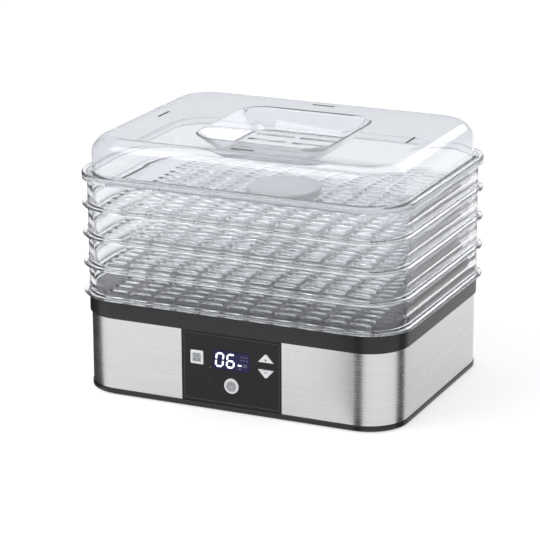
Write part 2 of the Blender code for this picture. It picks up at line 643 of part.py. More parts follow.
def heater():
    top = HEATER_BOTTOM + HEATER_TALL
    frame = piece("heater_frame", turned([
        (HEATER_RADIUS, HEATER_BOTTOM), (SHROUD_RADIUS - GAP, HEATER_BOTTOM),
        (SHROUD_RADIUS - GAP, top), (HEATER_RADIUS, top)]), MICA)
    arm = HEATER_RADIUS + MM
    thin = CROSS_HALF
    cross = box((-arm, -thin, HEATER_BOTTOM), (arm, thin, top))
    cut(frame, piece("cross_long", cross, MICA), "UNION")
    cross = box((-thin, -arm, HEATER_BOTTOM), (thin, arm, top))
    cut(frame, piece("cross_wide", cross, MICA), "UNION")
    middle = (HEATER_BOTTOM + top) / 2
    wire = COIL_WIRE / 2
    reach = wire + GAP
    slot = turned([(COIL_RADIUS - reach, middle - reach), (COIL_RADIUS + reach, middle - reach),
                   (COIL_RADIUS + reach, middle + reach), (COIL_RADIUS - reach, middle + reach)])
    cut(frame, piece("coil_slots", slot, MICA))
    coil = turned([(COIL_RADIUS + wire * math.cos(a), middle + wire * math.sin(a))
                   for a in (i * math.tau / 6 for i in range(6))])
    piece("heater_coil", coil, COPPER)
    fuse_height = top + GAP + FUSE_RADIUS
    fuse = rod((SENSOR_SIDE, -4 * MM, fuse_height), (SENSOR_SIDE, -4 * MM - FUSE_LONG, fuse_height),
               FUSE_RADIUS, SMALL_STEPS)
    piece("thermal_fuse", fuse, CREAM)
    low = top + GAP
    piece("thermostat", turned([(1 * MM, low), (THERMOSTAT_RADIUS, low),
                                (THERMOSTAT_RADIUS, low + THERMOSTAT_TALL),
                                (1 * MM, low + THERMOSTAT_TALL)], SMALL_STEPS), ZINC)
    sensor = rod((-SENSOR_SIDE, SENSOR_SIDE, low), (-SENSOR_SIDE, SENSOR_SIDE, low + SENSOR_TALL),
                 SENSOR_RADIUS, SMALL_STEPS)
    piece("temperature_sensor", sensor, CREAM)


def power_electrics():
    low = FLOOR_TOP + POWER_STAND
    left = -(WALL_X - POWER_WALL)
    right = -(SHROUD_RADIUS + POWER_SHROUD)
    board = piece("power_board", box((left, -POWER_HALF, low), (right, POWER_HALF, low + BOARD_THICK)),
                  BOARD)
    legs = bmesh.new()
    for x in (left + POWER_LEG, right - POWER_LEG):
        for y in (-POWER_HALF + POWER_LEG, POWER_HALF - POWER_LEG):
            add_rod(legs, (x, y, FLOOR_TOP + GAP), (x, y, low + MM), 2.5 * MM, 8)
    cut(board, piece("board_legs", legs, BOARD), "UNION")
    on = low + BOARD_THICK + GAP
    piece("relay", box((left + 8 * MM, -22 * MM, on), (left + 27 * MM, -7 * MM, on + 15 * MM)), BLACK)
    piece("filter_capacitor", box((left + 8 * MM, 4 * MM, on), (left + 26 * MM, 12 * MM, on + 14 * MM)),
          CREAM)
    piece("terminal_block", box((right - 14 * MM, -12 * MM, on), (right - 4 * MM, 14 * MM, on + 9 * MM)),
          CREAM)


def cord_gland():
    """Bush in the back wall; its flange lies on the steel."""
    back = -FRONT + GAP
    gland = piece("cord_gland", rod((GLAND_SIDE, back, GLAND_HEIGHT),
                                    (GLAND_SIDE, back + GLAND_OUT, GLAND_HEIGHT),
                                    GLAND_FLANGE, ROUND_STEPS, GLAND_FLANGE - 1.5 * MM), RUBBER)
    neck = rod((GLAND_SIDE, back - GLAND_IN, GLAND_HEIGHT), (GLAND_SIDE, back + MM, GLAND_HEIGHT),
               GLAND_RADIUS)
    cut(gland, piece("neck", neck, RUBBER), "UNION")
    hole = rod((GLAND_SIDE, back - 2 * GLAND_IN, GLAND_HEIGHT),
               (GLAND_SIDE, back + 2 * GLAND_OUT, GLAND_HEIGHT), GLAND_HOLE, SMALL_STEPS)
    cut(gland, piece("hole", hole, RUBBER))


def feet_and_screws():
    for number, (x, y) in enumerate(foot_places(), 1):
        foot = rod((x, y, 0), (x, y, FOOT_STAND + FOOT_SUNK - GAP), FOOT_RADIUS - 0.5 * MM,
                   ROUND_STEPS, FOOT_RADIUS)
        piece(f"foot_{number}", foot, RUBBER)
    for number, (x, y) in enumerate(pan_screws(), 1):
        top = FOOT_STAND + HEAD_THICK - GAP
        screw = piece(f"base_screw_{number}",
                      rod((x, y, top - HEAD_THICK + GAP), (x, y, top), SCREW_HEAD, SMALL_STEPS), ZINC)
        shank = rod((x, y, top - MM), (x, y, BASE_SCREW_TOP), SCREW_SHANK, SMALL_STEPS)
        cut(screw, piece("shank", shank, ZINC), "UNION")


def grid_slots():
    """Openings of a tray floor: long slots across, split by ribs that run front to back."""
    tool = bmesh.new()
    half_x = WALL_X - GRID_EDGE_X
    half_y = WALL_Y - TRAY_WALL - GRID_EDGE_Y
    wide = (2 * half_x + GRID_BAR) / GRID_COLUMNS
    deep = (2 * half_y + GRID_BAR) / GRID_ROWS
    corner = WALL_R - GRID_EDGE_X
    for column in range(GRID_COLUMNS):
        for row in range(GRID_ROWS):
            x = -half_x + column * wide
            y = -half_y + row * deep
            x_end = x + wide - GRID_BAR
            y_end = y + deep - GRID_BAR
            if row in (0, GRID_ROWS - 1):
                x = max(x, -half_x + corner)
                x_end = min(x_end, half_x - corner)
            add_box(tool, (x, y, -MM), (x_end, y_end, TRAY_FLOOR + MM))
    return tool


def trays():
    """Identical trays. Each rests on the wall below it and is located by the lip inside."""
    tall = TRAY_PITCH - GAP
    first = piece("tray_1", lofted([
        inset(LIP_IN + TRAY_WALL, 0),
        inset(LIP_IN + TRAY_WALL, -NEST_LIP),
        inset(LIP_IN, -NEST_LIP),
        inset(LIP_IN, 0),
        inset(-FLANGE_OUT, 0),
        inset(-FLANGE_OUT, FLANGE_THICK),
        inset(0, FLANGE_THICK),
        inset(0, tall),
        inset(TRAY_WALL, tall),
        inset(TRAY_WALL, TRAY_FLOOR),
    ]), CLEAR)
    cut(first, piece("grid", grid_slots(), CLEAR))
    first.location.z = TRAY_BOTTOM
    for number in range(1, TRAYS):
        tray = bpy.data.objects.new(f"tray_{number + 1}", first.data)
        tray.location.z = TRAY_BOTTOM + number * TRAY_PITCH
        bpy.context.collection.objects.link(tray)
    floor = TRAY_BOTTOM + (TRAYS - 1) * TRAY_PITCH + TRAY_FLOOR + GAP
    roof = floor + CAP_TALL
    inner = CAP_RADIUS - CAP_WALL
    cap = turned([(0.4 * MM, roof), (CAP_RADIUS - MM, roof), (CAP_RADIUS, roof - MM),
                  (CAP_RADIUS, floor), (inner, floor), (inner, roof - CAP_WALL),
                  (0.4 * MM, roof - CAP_WALL)])
    cap.transform(Matrix.Translation((0, 0, -floor)))
    piece("centre_cap", cap, CLEAR, (0, 0, floor))


def lid():
    """Inverted tray with a rounded top edge, a rim over the top tray and a sunken grip basin."""
    rim_top = LID_RIM_UP
    top = LID_TALL
    wall = LID_SET_BACK
    inner = wall + LID_THICK
    basin_floor = top - BASIN_DEEP
    skirt_in = -NEST_CLEAR
    rings = [basin(BASIN_FLOOR_HALF, basin_floor), basin(BASIN_HALF, top)]
    for step in range(LID_ROUND_STEPS + 1):
        angle = step / LID_ROUND_STEPS * math.pi / 2
        rings.append(lid_outline(wall + LID_ROUND * (1 - math.sin(angle)),
                               top - LID_ROUND * (1 - math.cos(angle))))
    rings += [lid_outline(wall, rim_top), inset(-FLANGE_OUT + MM, rim_top),
              inset(-FLANGE_OUT, rim_top - MM), inset(-FLANGE_OUT, -LID_RIM_DOWN),
              inset(skirt_in, -LID_RIM_DOWN), inset(skirt_in, 0), lid_outline(inner, 0)]
    inner_round = LID_ROUND - LID_THICK
    for step in range(LID_ROUND_STEPS, -1, -1):
        angle = step / LID_ROUND_STEPS * math.pi / 2
        rings.append(lid_outline(inner + inner_round * (1 - math.sin(angle)),
                               top - LID_THICK - inner_round * (1 - math.cos(angle))))
    rings += [basin(BASIN_HALF + LID_THICK / 2, top - LID_THICK),
              basin(BASIN_FLOOR_HALF + LID_THICK / 2, basin_floor - LID_THICK)]
    cover = piece("lid", lofted(rings), CLEAR)
    tool = bmesh.new()
    pitch = (2 * BASIN_FLOOR_HALF - 2 * BASIN_SLOT_WIDE) / BASIN_SLOTS
    for row in range(BASIN_SLOTS):
        y = (row - (BASIN_SLOTS - 1) / 2) * pitch
        for side in (-1, 1):
            ends = sorted((side * BASIN_RIB / 2, side * (BASIN_RIB / 2 + BASIN_SLOT_LONG)))
            add_box(tool, (ends[0], y - BASIN_SLOT_WIDE / 2, basin_floor - 2 * LID_THICK),
                    (ends[1], y + BASIN_SLOT_WIDE / 2, basin_floor + LID_THICK))
    side_x = WALL_X - LID_SET_BACK - SLIT_EDGE_X
    side_y = WALL_Y - LID_SET_BACK - SLIT_EDGE_Y
    low = top - 2 * LID_THICK
    high = top + LID_THICK
    for side in (-1, 1):
        x = side * side_x
        add_box(tool, (x - SLIT_WIDE / 2, -SLIT_LONG / 2, low), (x + SLIT_WIDE / 2, SLIT_LONG / 2, high))
        y = side * side_y
        add_box(tool, (-SLIT_LONG / 2, y - SLIT_WIDE / 2, low), (SLIT_LONG / 2, y + SLIT_WIDE / 2, high))
    cut(cover, piece("lid_openings", tool, CLEAR))
    cover.location.z = LID_SEAT


for old in list(bpy.data.objects):
    bpy.data.objects.remove(old)
base_pan()
steel_wrap()
top_deck()
control_panel()
buttons()
control_board()
fan()
heater()
power_electrics()
cord_gland()
feet_and_screws()
trays()
lid()
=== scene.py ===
"""Food dehydrator: heated fan base, four clear slotted trays, clear lid. Metres, +Z up, panel to -Y."""
import json
import math

import bmesh
import bpy
from mathutils import Matrix, Vector


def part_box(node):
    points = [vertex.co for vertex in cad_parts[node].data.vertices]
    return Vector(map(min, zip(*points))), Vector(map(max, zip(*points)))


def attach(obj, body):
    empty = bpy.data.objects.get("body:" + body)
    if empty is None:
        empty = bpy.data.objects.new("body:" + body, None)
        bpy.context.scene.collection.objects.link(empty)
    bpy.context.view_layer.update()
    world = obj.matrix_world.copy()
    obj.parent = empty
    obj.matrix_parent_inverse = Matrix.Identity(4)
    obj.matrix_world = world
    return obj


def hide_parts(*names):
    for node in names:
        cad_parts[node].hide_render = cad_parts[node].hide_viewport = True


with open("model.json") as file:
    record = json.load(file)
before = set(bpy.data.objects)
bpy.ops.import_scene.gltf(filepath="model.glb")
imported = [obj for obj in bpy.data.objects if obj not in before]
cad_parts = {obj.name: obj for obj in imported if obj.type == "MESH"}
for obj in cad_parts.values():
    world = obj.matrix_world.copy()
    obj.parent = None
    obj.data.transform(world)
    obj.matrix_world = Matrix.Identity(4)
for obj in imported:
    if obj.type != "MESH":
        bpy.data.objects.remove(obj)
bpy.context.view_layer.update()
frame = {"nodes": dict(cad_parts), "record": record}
MM = 0.001
TURN = math.tau

# Studio floor, camera and lights. The floor is a plain pale sheet; the camera looks down on the
# nearest corner, two large soft boxes give the plastic its broad highlights, and three dark cards
# lying on the floor give the polished steel its dark corner bands.
CAMERA_PLACE = (0.9723, -2.1433, 0.8375)
CAMERA_TURN = ((0.910516, 0.413453, -0.004167),
               (-0.118128, 0.269777, 0.955649),
               (0.396241, -0.869642, 0.294477))
CAMERA_LENS, CAMERA_FILM = 168.534, 36
SHIFT_X, SHIFT_Y = -0.0204, -0.0111
AIM = Vector((0, 0, 0.15))
FLOOR_HALF = 14
FLOOR_GLOW = 0.52
CARD_ABOVE_FLOOR = 0.2 * MM


def plain(name, colour, rough, metal=0.0):
    made = bpy.data.materials.new(name)
    made.use_nodes = True
    shader = made.node_tree.nodes["Principled BSDF"]
    shader.inputs["Base Color"].default_value = (*colour, 1)
    shader.inputs["Roughness"].default_value = rough
    shader.inputs["Metallic"].default_value = metal
    return made, shader


def soft_box(name, way, away, wide, tall, radiance):
    data = bpy.data.lights.new(name, "AREA")
    data.shape = "RECTANGLE"
    data.size = wide
    data.size_y = tall
    data.energy = radiance * math.pi * wide * tall
    lamp = bpy.data.objects.new(name, data)
    lamp.location = AIM + Vector(way).normalized() * away
    lamp.rotation_euler = (lamp.location - AIM).to_track_quat("Z", "Y").to_euler()
    lamp.visible_camera = False
    bpy.context.collection.objects.link(lamp)


def flag(name, x, y, way, near_wide, far_wide, long, tall=0.5):
    """Dark card that only polished faces see: a wedge on the floor that starts at the steel and
    turns up at its far end. It puts the dark bands in the steel's corners."""
    sheet = bmesh.new()
    bmesh.ops.create_grid(sheet, x_segments=1, y_segments=1, size=0.5)
    near = [v for v in sheet.verts if v.co.y > 0]
    far = [v for v in sheet.verts if v.co.y < 0]
    bmesh.ops.scale(sheet, vec=(near_wide, long, 1), verts=near)
    bmesh.ops.scale(sheet, vec=(far_wide, long, 1), verts=far)
    edge = [e for e in sheet.edges if all(v in far for v in e.verts)]
    raised = bmesh.ops.extrude_edge_only(sheet, edges=edge)["geom"]
    raised = [v for v in raised if isinstance(v, bmesh.types.BMVert)]
    bmesh.ops.translate(sheet, vec=(0, 0, tall), verts=raised)
    bmesh.ops.translate(sheet, vec=(0, -long / 2, CARD_ABOVE_FLOOR), verts=sheet.verts)
    sheet.transform(Matrix.Translation((x, y, 0)) @ Matrix.Rotation(math.radians(way), 4, "Z"))
    data = bpy.data.meshes.new(name)
    sheet.to_mesh(data)
    sheet.free()
    data.materials.append(card_black)
    card = bpy.data.objects.new(name, data)
    bpy.context.collection.objects.link(card)
    card.visible_camera = False
    card.visible_diffuse = False
    card.visible_shadow = False
    card.visible_transmission = False


card_black, _ = plain("card_black", (0.02, 0.02, 0.02), 0.9)
floor_pale, shader = plain("floor_pale", (0.50, 0.50, 0.505), 0.75)
shader.inputs["Specular IOR Level"].default_value = 0.1
shader.inputs["Emission Color"].default_value = (1, 1, 1, 1)
shader.inputs["Emission Strength"].default_value = FLOOR_GLOW
sheet = bmesh.new()
bmesh.ops.create_grid(sheet, x_segments=1, y_segments=1, size=FLOOR_HALF)
data = bpy.data.meshes.new("studio_floor")
sheet.to_mesh(data)
sheet.free()
data.materials.append(floor_pale)
studio_floor = bpy.data.objects.new("studio_floor", data)
bpy.context.collection.objects.link(studio_floor)

camera_data = bpy.data.cameras.new("camera")
camera_data.lens = CAMERA_LENS
camera_data.sensor_width = CAMERA_FILM
camera_data.shift_x = SHIFT_X
camera_data.shift_y = SHIFT_Y
camera = bpy.data.objects.new("camera", camera_data)
turned_axes = Matrix(CAMERA_TURN).transposed().to_4x4()
camera.matrix_world = Matrix.Translation(CAMERA_PLACE) @ turned_axes
bpy.context.collection.objects.link(camera)
scene = bpy.context.scene
scene.camera = camera
scene.view_settings.view_transform = "Standard"
scene.cycles.max_bounces = 40
scene.cycles.transmission_bounces = 40
scene.cycles.glossy_bounces = 8
scene.cycles.diffuse_bounces = 3
scene.cycles.transparent_max_bounces = 24

world = bpy.data.worlds.new("studio")
scene.world = world
world.use_nodes = True
nodes, links = world.node_tree.nodes, world.node_tree.links
backdrop = nodes["Background"]
path = nodes.new("ShaderNodeLightPath")
tone = nodes.new("ShaderNodeMix")
tone.data_type = "RGBA"
tone.inputs["A"].default_value = (0.78, 0.79, 0.81, 1)
tone.inputs["B"].default_value = (0.93, 0.93, 0.935, 1)
links.new(path.outputs["Is Camera Ray"], tone.inputs["Factor"])
links.new(tone.outputs["Result"], backdrop.inputs["Color"])
backdrop.inputs["Strength"].default_value = 1.0
sun_data = bpy.data.lights.new("ceiling", "SUN")
sun_data.energy = 0.6
sun_data.angle = math.radians(120)
ceiling = bpy.data.objects.new("ceiling", sun_data)
ceiling.rotation_euler = (math.radians(8), math.radians(-6), 0)
bpy.context.collection.objects.link(ceiling)
soft_box("front_box", way=(-0.40, -0.50, 0.80), away=1.7, wide=1.0, tall=0.9, radiance=4.2)
soft_box("back_box", way=(0.30, 0.87, 0.50), away=1.9, wide=1.2, tall=0.7, radiance=1.4)
flag("flag_front", x=0.129, y=-0.125, way=-8, near_wide=0.008, far_wide=0.062, long=0.13)
flag("flag_right", x=0.163, y=-0.098, way=120, near_wide=0.008, far_wide=0.075, long=0.13)
flag("flag_left", x=-0.150, y=-0.115, way=-104, near_wide=0.025, far_wide=0.20, long=0.15)

# Lower pan: black moulded pan with a low skirt round the foot of the steel. The steel strip
# stands in its rebate, and the base screws and feet sit in pockets underneath. Like every
# moulding above it, it follows one rounded rectangle, measured in from the tray wall's outer face.
FLANGE_OUT = 5 * MM
WALL_CORNER = 41 * MM
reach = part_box("tray_1")[1]
WALL_X = reach.x - FLANGE_OUT
WALL_Y = reach.y - FLANGE_OUT
CORNER_STEPS = 14
CLEAR_LIFT = 200 * MM
RIM_ANGLE = 1.2
SKIRT_IN = 1.1 * MM
SKIRT_TOP = 5.9 * MM
SKIRT_ROUND = 1.4 * MM
LEDGE_ROUND = 0.5 * MM
PAN_FOOT = 0.8 * MM
PAN_FLOOR = 3.3 * MM
PAN_WALL_IN = 3.2 * MM
PAN_WALL = 2.2 * MM
PAN_SOFT = 0.4 * MM
STEEL_TOP = 77.0 * MM
INLET_PITCH_X, INLET_PITCH_Y = 44 * MM, 9 * MM
INLET_GAP_X, INLET_GAP_Y = 6 * MM, 5 * MM
INLET_ROUND = 1.8 * MM
INLET_SPINE = 5 * MM
FOOT_X, FOOT_Y = 117.2 * MM, 77.2 * MM
FOOT_POCKET, FOOT_POCKET_DEEP = 8.3 * MM, MM
SCREW_POCKET, SCREW_POCKET_DEEP = 3.7 * MM, 1.6 * MM
HATCH_HALF, HATCH_LOW, HATCH_HIGH = 48.5 * MM, 9.4 * MM, 73.5 * MM
FRONT_BAND = -100 * MM
BROAD_FACE = 1e-4


def rounded_loop(mesh, half_x, half_y, corner, height, steps=CORNER_STEPS):
    """Edge loop of a rounded rectangle, from a sheet whose four corners are bevelled."""
    before = set(mesh.verts)
    place = Matrix.Translation((0, 0, height)) @ Matrix.Diagonal((half_x, half_y, 1, 1))
    made = bmesh.ops.create_grid(mesh, x_segments=1, y_segments=1, size=1, matrix=place)
    bmesh.ops.bevel(mesh, geom=made["verts"], offset=corner, segments=steps, profile=0.5,
                    affect="VERTICES", material=-1)
    fresh = [v for v in mesh.verts if v not in before]
    faces = {f for v in fresh for f in v.link_faces}
    bmesh.ops.delete(mesh, geom=list(faces), context="FACES_ONLY")
    return list({e for v in fresh for e in v.link_edges})


def ring(mesh, distance, height, corner=WALL_CORNER):
    return rounded_loop(mesh, WALL_X - distance, WALL_Y - distance, corner - distance, height)


def skin(mesh, loops, closed=False):
    """Join each loop to the next, lifted well clear while they are joined so that no pair is level."""
    for near, far in zip(loops, loops[1:] + (loops[:1] if closed else [])):
        lifted = list({v for e in far for v in e.verts})
        bmesh.ops.translate(mesh, vec=(0, 0, CLEAR_LIFT), verts=lifted)
        bmesh.ops.bridge_loops(mesh, edges=near + far)
        bmesh.ops.translate(mesh, vec=(0, 0, -CLEAR_LIFT), verts=lifted)


def arc(distance, height, radius, start, stop, steps=6):
    """Places on a round of the section: (distance, height) about a centre, angles in degrees."""
    turns = [math.radians(start + (stop - start) * i / steps) for i in range(steps + 1)]
    return [(distance - radius * math.cos(a), height + radius * math.sin(a)) for a in turns]


def outward(mesh):
    """Face every closed shell outwards: turned the wrong way, its volume comes out negative."""
    left = set(mesh.faces)
    while left:
        fresh = {left.pop()}
        shell = set(fresh)
        while fresh:
            fresh = {near for f in fresh for e in f.edges for near in e.link_faces} - shell
            shell |= fresh
        left -= shell
        bmesh.ops.recalc_face_normals(mesh, faces=list(shell))
        if sum(f.calc_center_median().dot(f.normal) * f.calc_area() for f in shell) < 0:
            bmesh.ops.reverse_faces(mesh, faces=list(shell))


def ready(name, mesh, material, body, slot, *stands_for, angle=35):
    """Finish a piece: outward faces, smooth but for its corners, riding on its body."""
    bmesh.ops.remove_doubles(mesh, verts=mesh.verts, dist=0.002 * MM)
    outward(mesh)
    data = bpy.data.meshes.new(name)
    mesh.to_mesh(data)
    mesh.free()
    data.shade_smooth()
    data.set_sharp_from_angle(angle=math.radians(angle))
    data.materials.append(material)
    made = bpy.data.objects.new(name, data)
    bpy.context.collection.objects.link(made)
    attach(made, body)
    if stands_for:
        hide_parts(*stands_for)
    return made


def node(tree, kind, **values):
    made = tree.nodes.new("ShaderNode" + kind)
    for name, value in values.items():
        if hasattr(made, name):
            setattr(made, name, value)
        else:
            made.inputs[name.replace("_", " ")].default_value = value
    return made


def grained(name, dark, light, rough, scale, stretch=(1, 1, 1), bump=0.1, depth=0.05, metal=0.0,
            rough_swing=0.08, detail=4.0):
    """Finish whose colour, gloss and surface follow one fine grain, stretched as wanted."""
    made, shader = plain(name, light, rough, metal)
    tree = made.node_tree
    place = node(tree, "TexCoord")
    fit = node(tree, "Mapping", Scale=stretch)
    grain = node(tree, "TexNoise", Scale=scale, Detail=detail, Roughness=0.6)
    colour = node(tree, "ValToRGB")
    colour.color_ramp.elements[0].position = 0.3
    colour.color_ramp.elements[0].color = (*dark, 1)
    colour.color_ramp.elements[1].position = 0.7
    colour.color_ramp.elements[1].color = (*light, 1)
    gloss = node(tree, "MapRange")
    gloss.inputs["To Min"].default_value = rough - rough_swing
    gloss.inputs["To Max"].default_value = rough + rough_swing
    relief = node(tree, "Bump", Strength=bump, Distance=depth * MM)
    tree.links.new(place.outputs["Object"], fit.inputs["Vector"])
    tree.links.new(fit.outputs["Vector"], grain.inputs["Vector"])
    tree.links.new(grain.outputs["Fac"], colour.inputs["Fac"])
    tree.links.new(grain.outputs["Fac"], gloss.inputs["Value"])
    tree.links.new(grain.outputs["Fac"], relief.inputs["Height"])
    tree.links.new(colour.outputs["Color"], shader.inputs["Base Color"])
    tree.links.new(gloss.outputs["Result"], shader.inputs["Roughness"])
    tree.links.new(relief.outputs["Normal"], shader.inputs["Normal"])
    return made, shader


satin_black, shader = grained("satin_black", (0.010, 0.0105, 0.011), (0.015, 0.0155, 0.0165), 0.34, 900,
                              bump=0.25, depth=0.03)
shader.inputs["Specular IOR Level"].default_value = 0.38


def slotted(mesh, columns, rows, pitch_x, pitch_y, gap_x, gap_y, height, end_round, open_at=None):
    """Sheet of cells with a round-ended slot in each; returns the edges round the sheet.
    gap_x and gap_y are the bars left between slots. Cells where open_at fails stay solid."""
    before = set(mesh.verts)
    stretch = gap_x / gap_y
    half_x = columns * pitch_x / stretch / 2
    half_y = rows * pitch_y / 2
    made = bmesh.ops.create_grid(mesh, x_segments=columns, y_segments=rows, size=1,
                                 matrix=Matrix.Diagonal((half_x, half_y, 1, 1)))
    cells = list({f for v in made["verts"] for f in v.link_faces})
    if open_at:
        cells = [f for f in cells
                 if open_at(f.calc_center_median().x * stretch, f.calc_center_median().y)]
    bmesh.ops.inset_individual(mesh, faces=cells, thickness=gap_y / 2, use_even_offset=True)
    bmesh.ops.delete(mesh, geom=cells, context="FACES")
    fresh = [v for v in mesh.verts if v not in before]
    bmesh.ops.scale(mesh, vec=(stretch, 1, 1), verts=fresh)
    bmesh.ops.translate(mesh, vec=(0, 0, height), verts=fresh)
    half_x *= stretch
    corners = [v for v in fresh if v.is_boundary
               and abs(v.co.x) < half_x - MM / 10 and abs(v.co.y) < half_y - MM / 10]
    bmesh.ops.bevel(mesh, geom=corners, offset=end_round, segments=2, profile=0.5,
                    affect="VERTICES", material=-1)
    edges = {e for v in mesh.verts if v not in before for e in v.link_edges}
    return [e for e in edges if e.is_boundary and
            (all(abs(v.co.x) > half_x - MM / 20 for v in e.verts)
             or all(abs(v.co.y) > half_y - MM / 20 for v in e.verts))]


def slotted_plate(mesh, low, high, soften, **grid):
    """Slotted sheet made solid between two heights; returns its upper and lower outer edges."""
    before = set(mesh.verts)
    outer = slotted(mesh, height=high, **grid)
    fresh = [v for v in mesh.verts if v not in before]
    faces = list({f for v in fresh for f in v.link_faces})
    pulled = bmesh.ops.extrude_face_region(mesh, geom=faces)
    lower = [v for v in pulled["geom"] if isinstance(v, bmesh.types.BMVert)]
    bmesh.ops.translate(mesh, vec=(0, 0, low - high), verts=lower)
    half_x = grid["columns"] * grid["pitch_x"] / 2 - MM / 20
    half_y = grid["rows"] * grid["pitch_y"] / 2 - MM / 20
    around = set(mesh.faces) if not before else {f for v in fresh + lower for f in v.link_faces}
    sides = [f for f in around if abs(f.normal.z) < 0.5 and
             (all(abs(v.co.x) > half_x for v in f.verts) or all(abs(v.co.y) > half_y for v in f.verts))]
    bmesh.ops.delete(mesh, geom=sides, context="FACES")
    work = {e for v in fresh + lower if v.is_valid for e in v.link_edges}
    rims = [e for e in work if len(e.link_faces) == 2 and e.calc_face_angle(0) > RIM_ANGLE]
    bmesh.ops.bevel(mesh, geom=rims, offset=soften, segments=1, profile=0.5, affect="EDGES",
                    material=-1, clamp_overlap=True)
    border = [e for e in mesh.edges if e.is_boundary and
              (all(abs(v.co.x) > half_x for v in e.verts) or all(abs(v.co.y) > half_y for v in e.verts))]
    middle = (low + high) / 2
    upper_edges = [e for e in border if all(v.co.z > middle for v in e.verts)]
    lower_edges = [e for e in border if all(v.co.z < middle for v in e.verts)]
    return upper_edges, lower_edges


def frame_fill(mesh, outer, inner):
    """Flat sheet between an outer loop and the loop of a slotted plate inside it."""
    bmesh.ops.triangle_fill(mesh, edges=outer + inner, use_beauty=True, normal=(0, 0, 1))


def pocket(mesh, x, y, radius, height, deep, steps=20):
    """Round pocket sunk upwards from a flat underside; returns its mouth."""
    made = bmesh.ops.create_circle(mesh, segments=steps, radius=radius,
                                   matrix=Matrix.Translation((x, y, height)))
    mouth = list({e for v in made["verts"] for e in v.link_edges})
    walls = bmesh.ops.extrude_edge_only(mesh, edges=mouth)["geom"]
    top = [v for v in walls if isinstance(v, bmesh.types.BMVert)]
    bmesh.ops.translate(mesh, vec=(0, 0, deep), verts=top)
    bmesh.ops.contextual_create(mesh, geom=top)
    return mouth


foot_places = [(x, y) for x in (-FOOT_X, FOOT_X) for y in (-FOOT_Y, FOOT_Y)]
screw_boxes = [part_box(f"base_screw_{number}") for number in range(1, 7)]
screw_places = [((low.x + high.x) / 2, (low.y + high.y) / 2) for low, high in screw_boxes]
pan = bmesh.new()
upper, lower = slotted_plate(
    pan, PAN_FOOT, PAN_FLOOR, PAN_SOFT, columns=2, rows=11, pitch_x=INLET_PITCH_X,
    pitch_y=INLET_PITCH_Y, gap_x=INLET_GAP_X, gap_y=INLET_GAP_Y, end_round=INLET_ROUND,
    open_at=lambda x, y: abs(y) > INLET_SPINE)
section = arc(SKIRT_IN + SKIRT_ROUND, PAN_FOOT + SKIRT_ROUND, SKIRT_ROUND, -90, 0, 5)
section += arc(SKIRT_IN + LEDGE_ROUND, SKIRT_TOP - LEDGE_ROUND, LEDGE_ROUND, 0, 90, 3)
section += [(PAN_WALL_IN, SKIRT_TOP), (PAN_WALL_IN, STEEL_TOP),
            (PAN_WALL_IN + PAN_WALL, STEEL_TOP), (PAN_WALL_IN + PAN_WALL, PAN_FLOOR)]
loops = [ring(pan, distance, height) for distance, height in section]
skin(pan, loops)
mouths = []
for x, y in foot_places:
    mouths += pocket(pan, x, y, FOOT_POCKET, PAN_FOOT, FOOT_POCKET_DEEP)
for x, y in screw_places:
    mouths += pocket(pan, x, y, SCREW_POCKET, PAN_FOOT, SCREW_POCKET_DEEP, 12)
frame_fill(pan, loops[0], lower + mouths)
frame_fill(pan, loops[-1], upper)
for place, facing in (((-HATCH_HALF, 0, 0), (1, 0, 0)), ((HATCH_HALF, 0, 0), (1, 0, 0)),
                      ((0, 0, HATCH_LOW), (0, 0, 1)), ((0, 0, HATCH_HIGH), (0, 0, 1))):
    wall = [f for f in pan.faces if abs(f.normal.z) < 0.1 and f.calc_center_median().y < FRONT_BAND
            and f.calc_area() > BROAD_FACE]
    parts = list({v for f in wall for v in f.verts}) + list({e for f in wall for e in f.edges}) + wall
    bmesh.ops.bisect_plane(pan, geom=parts, plane_co=place, plane_no=facing)
hole = [f for f in pan.faces if abs(f.calc_center_median().x) < HATCH_HALF
        and HATCH_LOW < f.calc_center_median().z < HATCH_HIGH
        and f.calc_center_median().y < FRONT_BAND]
bmesh.ops.delete(pan, geom=hole, context="FACES")
bmesh.ops.bridge_loops(pan, edges=[e for e in pan.edges if e.is_boundary])
ready("lower_pan", pan, satin_black, "base", "black_plastic", "base_pan")

# Steel band: one strip of brushed stainless steel bent round the base, open at the front for
# the control panel. The brushing runs along the strip, so it is level all the way round.
STEEL_IN = 1.8 * MM
STEEL_LOW = 6.2 * MM
STEEL_THICK = 0.8 * MM
STEEL_FOLD = 0.25 * MM
PANEL_HALF = 52 * MM

brushed, shader = grained("brushed_stainless", (0.56, 0.548, 0.54), (0.66, 0.648, 0.64), 0.26, 1.0,
                          stretch=(9, 9, 1500), bump=0.25, depth=0.02, metal=1.0,
                          rough_swing=0.08, detail=5.0)
shader.inputs["Anisotropic"].default_value = 0.55
direction = node(brushed.node_tree, "Tangent", direction_type="RADIAL", axis="Z")
brushed.node_tree.links.new(direction.outputs["Tangent"], shader.inputs["Tangent"])

